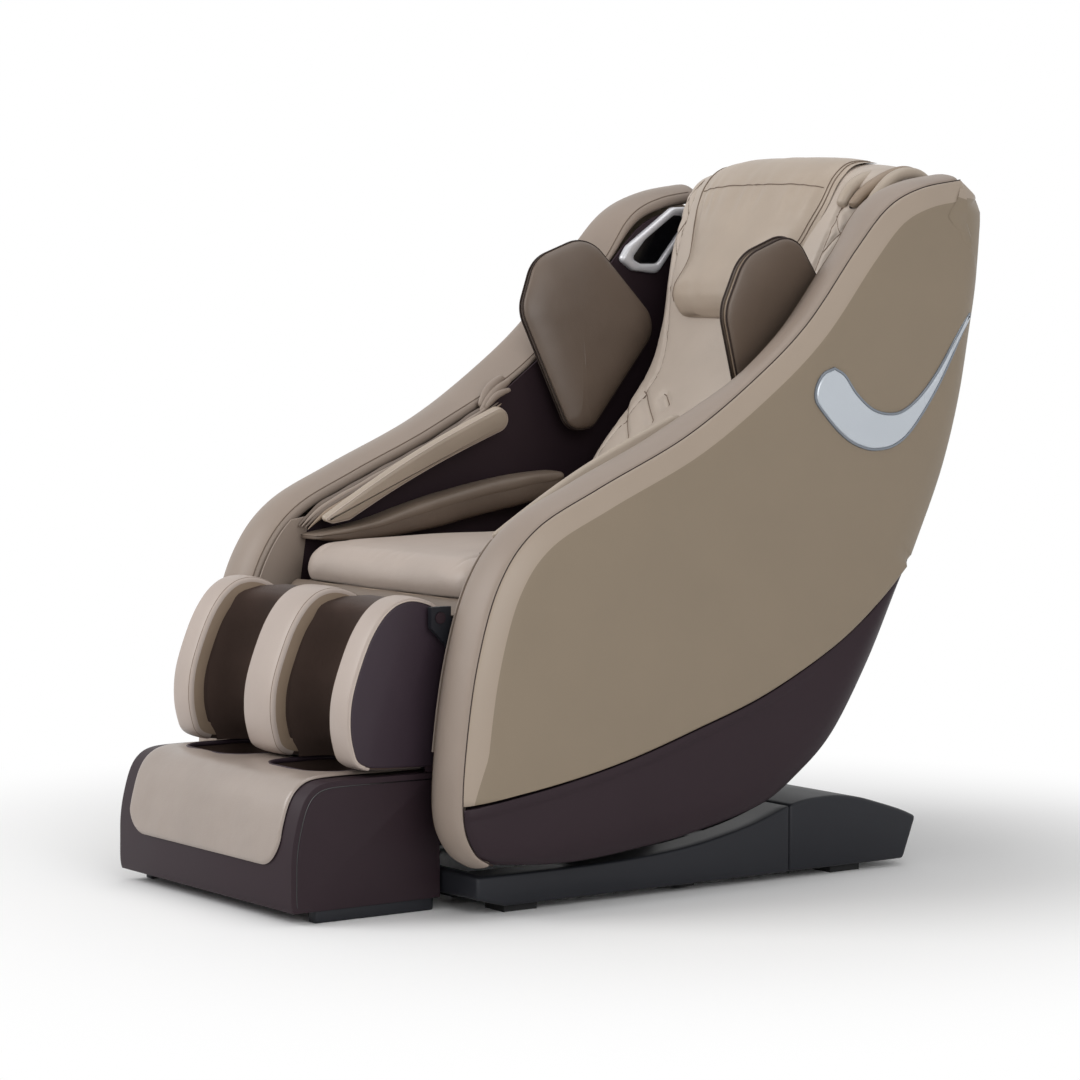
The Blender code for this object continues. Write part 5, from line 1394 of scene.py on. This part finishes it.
def base():
    """Low front cover with its long opening, and the humped rear cover."""
    top = spline(BASE_TOP, 40)
    outline = [Vector((COVER_SPLIT - 0.0008, 0.0122)), Vector((-0.300, 0.0122)),
               Vector((BASE_FRONT, 0.026))] + top
    front = prism("cover", outline, -BASE_HALF, BASE_HALF, BASE_BLACK, bevel=0.004)
    inner = prism("inner", rectangle(-0.300, -0.330, 0.300, 0.30), -0.02, 0.20, BASE_BLACK,
                  plane="XY")
    hollow = [Vector((COVER_SPLIT + 0.02, -0.02)), Vector((BASE_FRONT + 0.006, -0.02))]
    hollow += [p + Vector((0.006 if i == 0 else 0, -0.006)) for i, p in enumerate(top)]
    hollow.append(Vector((COVER_SPLIT + 0.02, 0.115)))
    well = prism("well", hollow, -BASE_HALF + 0.006, BASE_HALF - 0.006, BASE_BLACK)
    front = carve(front, well, inner)
    front.name = "base_front"
    place(front, "base", "base_front_cover")
    hump = spline(HUMP, 30)
    outline = [Vector((0.5050, 0.0122)), Vector((COVER_SPLIT, 0.0122))] + hump
    rear = prism("cover", outline, -BASE_HALF, BASE_HALF, BASE_BLACK, bevel=0.006)
    hollow = [Vector((0.498, -0.02)), Vector((COVER_SPLIT - 0.02, -0.02)),
              Vector((COVER_SPLIT - 0.02, 0.112))]
    hollow += [p - Vector((0.007 if p.x > 0.52 else 0, 0.007)) for p in hump]
    well = prism("well", hollow, -BASE_HALF + 0.006, BASE_HALF - 0.006, BASE_BLACK)
    rear = carve(rear, well)
    inlet = prism("inlet", round_box(-0.260, 0.037, -0.202, 0.063, 0.002, 3), 0.497, 0.56,
                  BASE_BLACK, plane="XZ")
    rear = carve(rear, inlet)
    rear.name = "base_rear"
    place(rear, "base", "base_rear_cover")
    socket = prism("inlet_plate", rectangle(-0.2660, 0.034, -0.1960, 0.066), 0.4860, 0.4900,
                   GLOSS, plane="XZ", bevel=0.001)
    place(socket, "base")
    for index, x in enumerate((-0.250, -0.245, -0.240)):
        pin = prism(f"inlet_pin_{index}",
                    round_box(x - 0.001, 0.046, x + 0.001, 0.054, 0.0005, 2), 0.4902, 0.5000,
                    STEEL, plane="XZ")
        place(pin, "base")
    for side, word in SIDES:
        middle = side * 0.318
        disc = prism(f"middle_foot_{word}",
                     round_box(middle - 0.020, 0.045, middle + 0.020, 0.085, 0.008, 4),
                     0.0045, 0.0122, RUBBER, plane="XY", bevel=0.001)
        place(disc, "base")


# ---------------------------------------------------------------- CAD nodes that stay


def finish_nodes():
    """Give every CAD node its own finish, or else its slot's."""
    slots = {entry["node"]: entry["material_slot"] for entry in frame["record"]["subparts"]}
    for name, obj in frame["nodes"].items():
        obj.data.materials.clear()
        obj.data.materials.append(OWN_FINISH.get(name, CAD_FINISH[slots[name]]))


for build in (camera, studio, finish_nodes, side_panel, lower_panel, rim, side_trim, speaker,
              back_pad, head_pillow, head_folds, shoulder_pad, rim_return, arm_roll, arm_collar,
              arm_flap, arm_rest, seat, calf_fins, calf_trough, foot_rest, foot_leather, base):
    build()
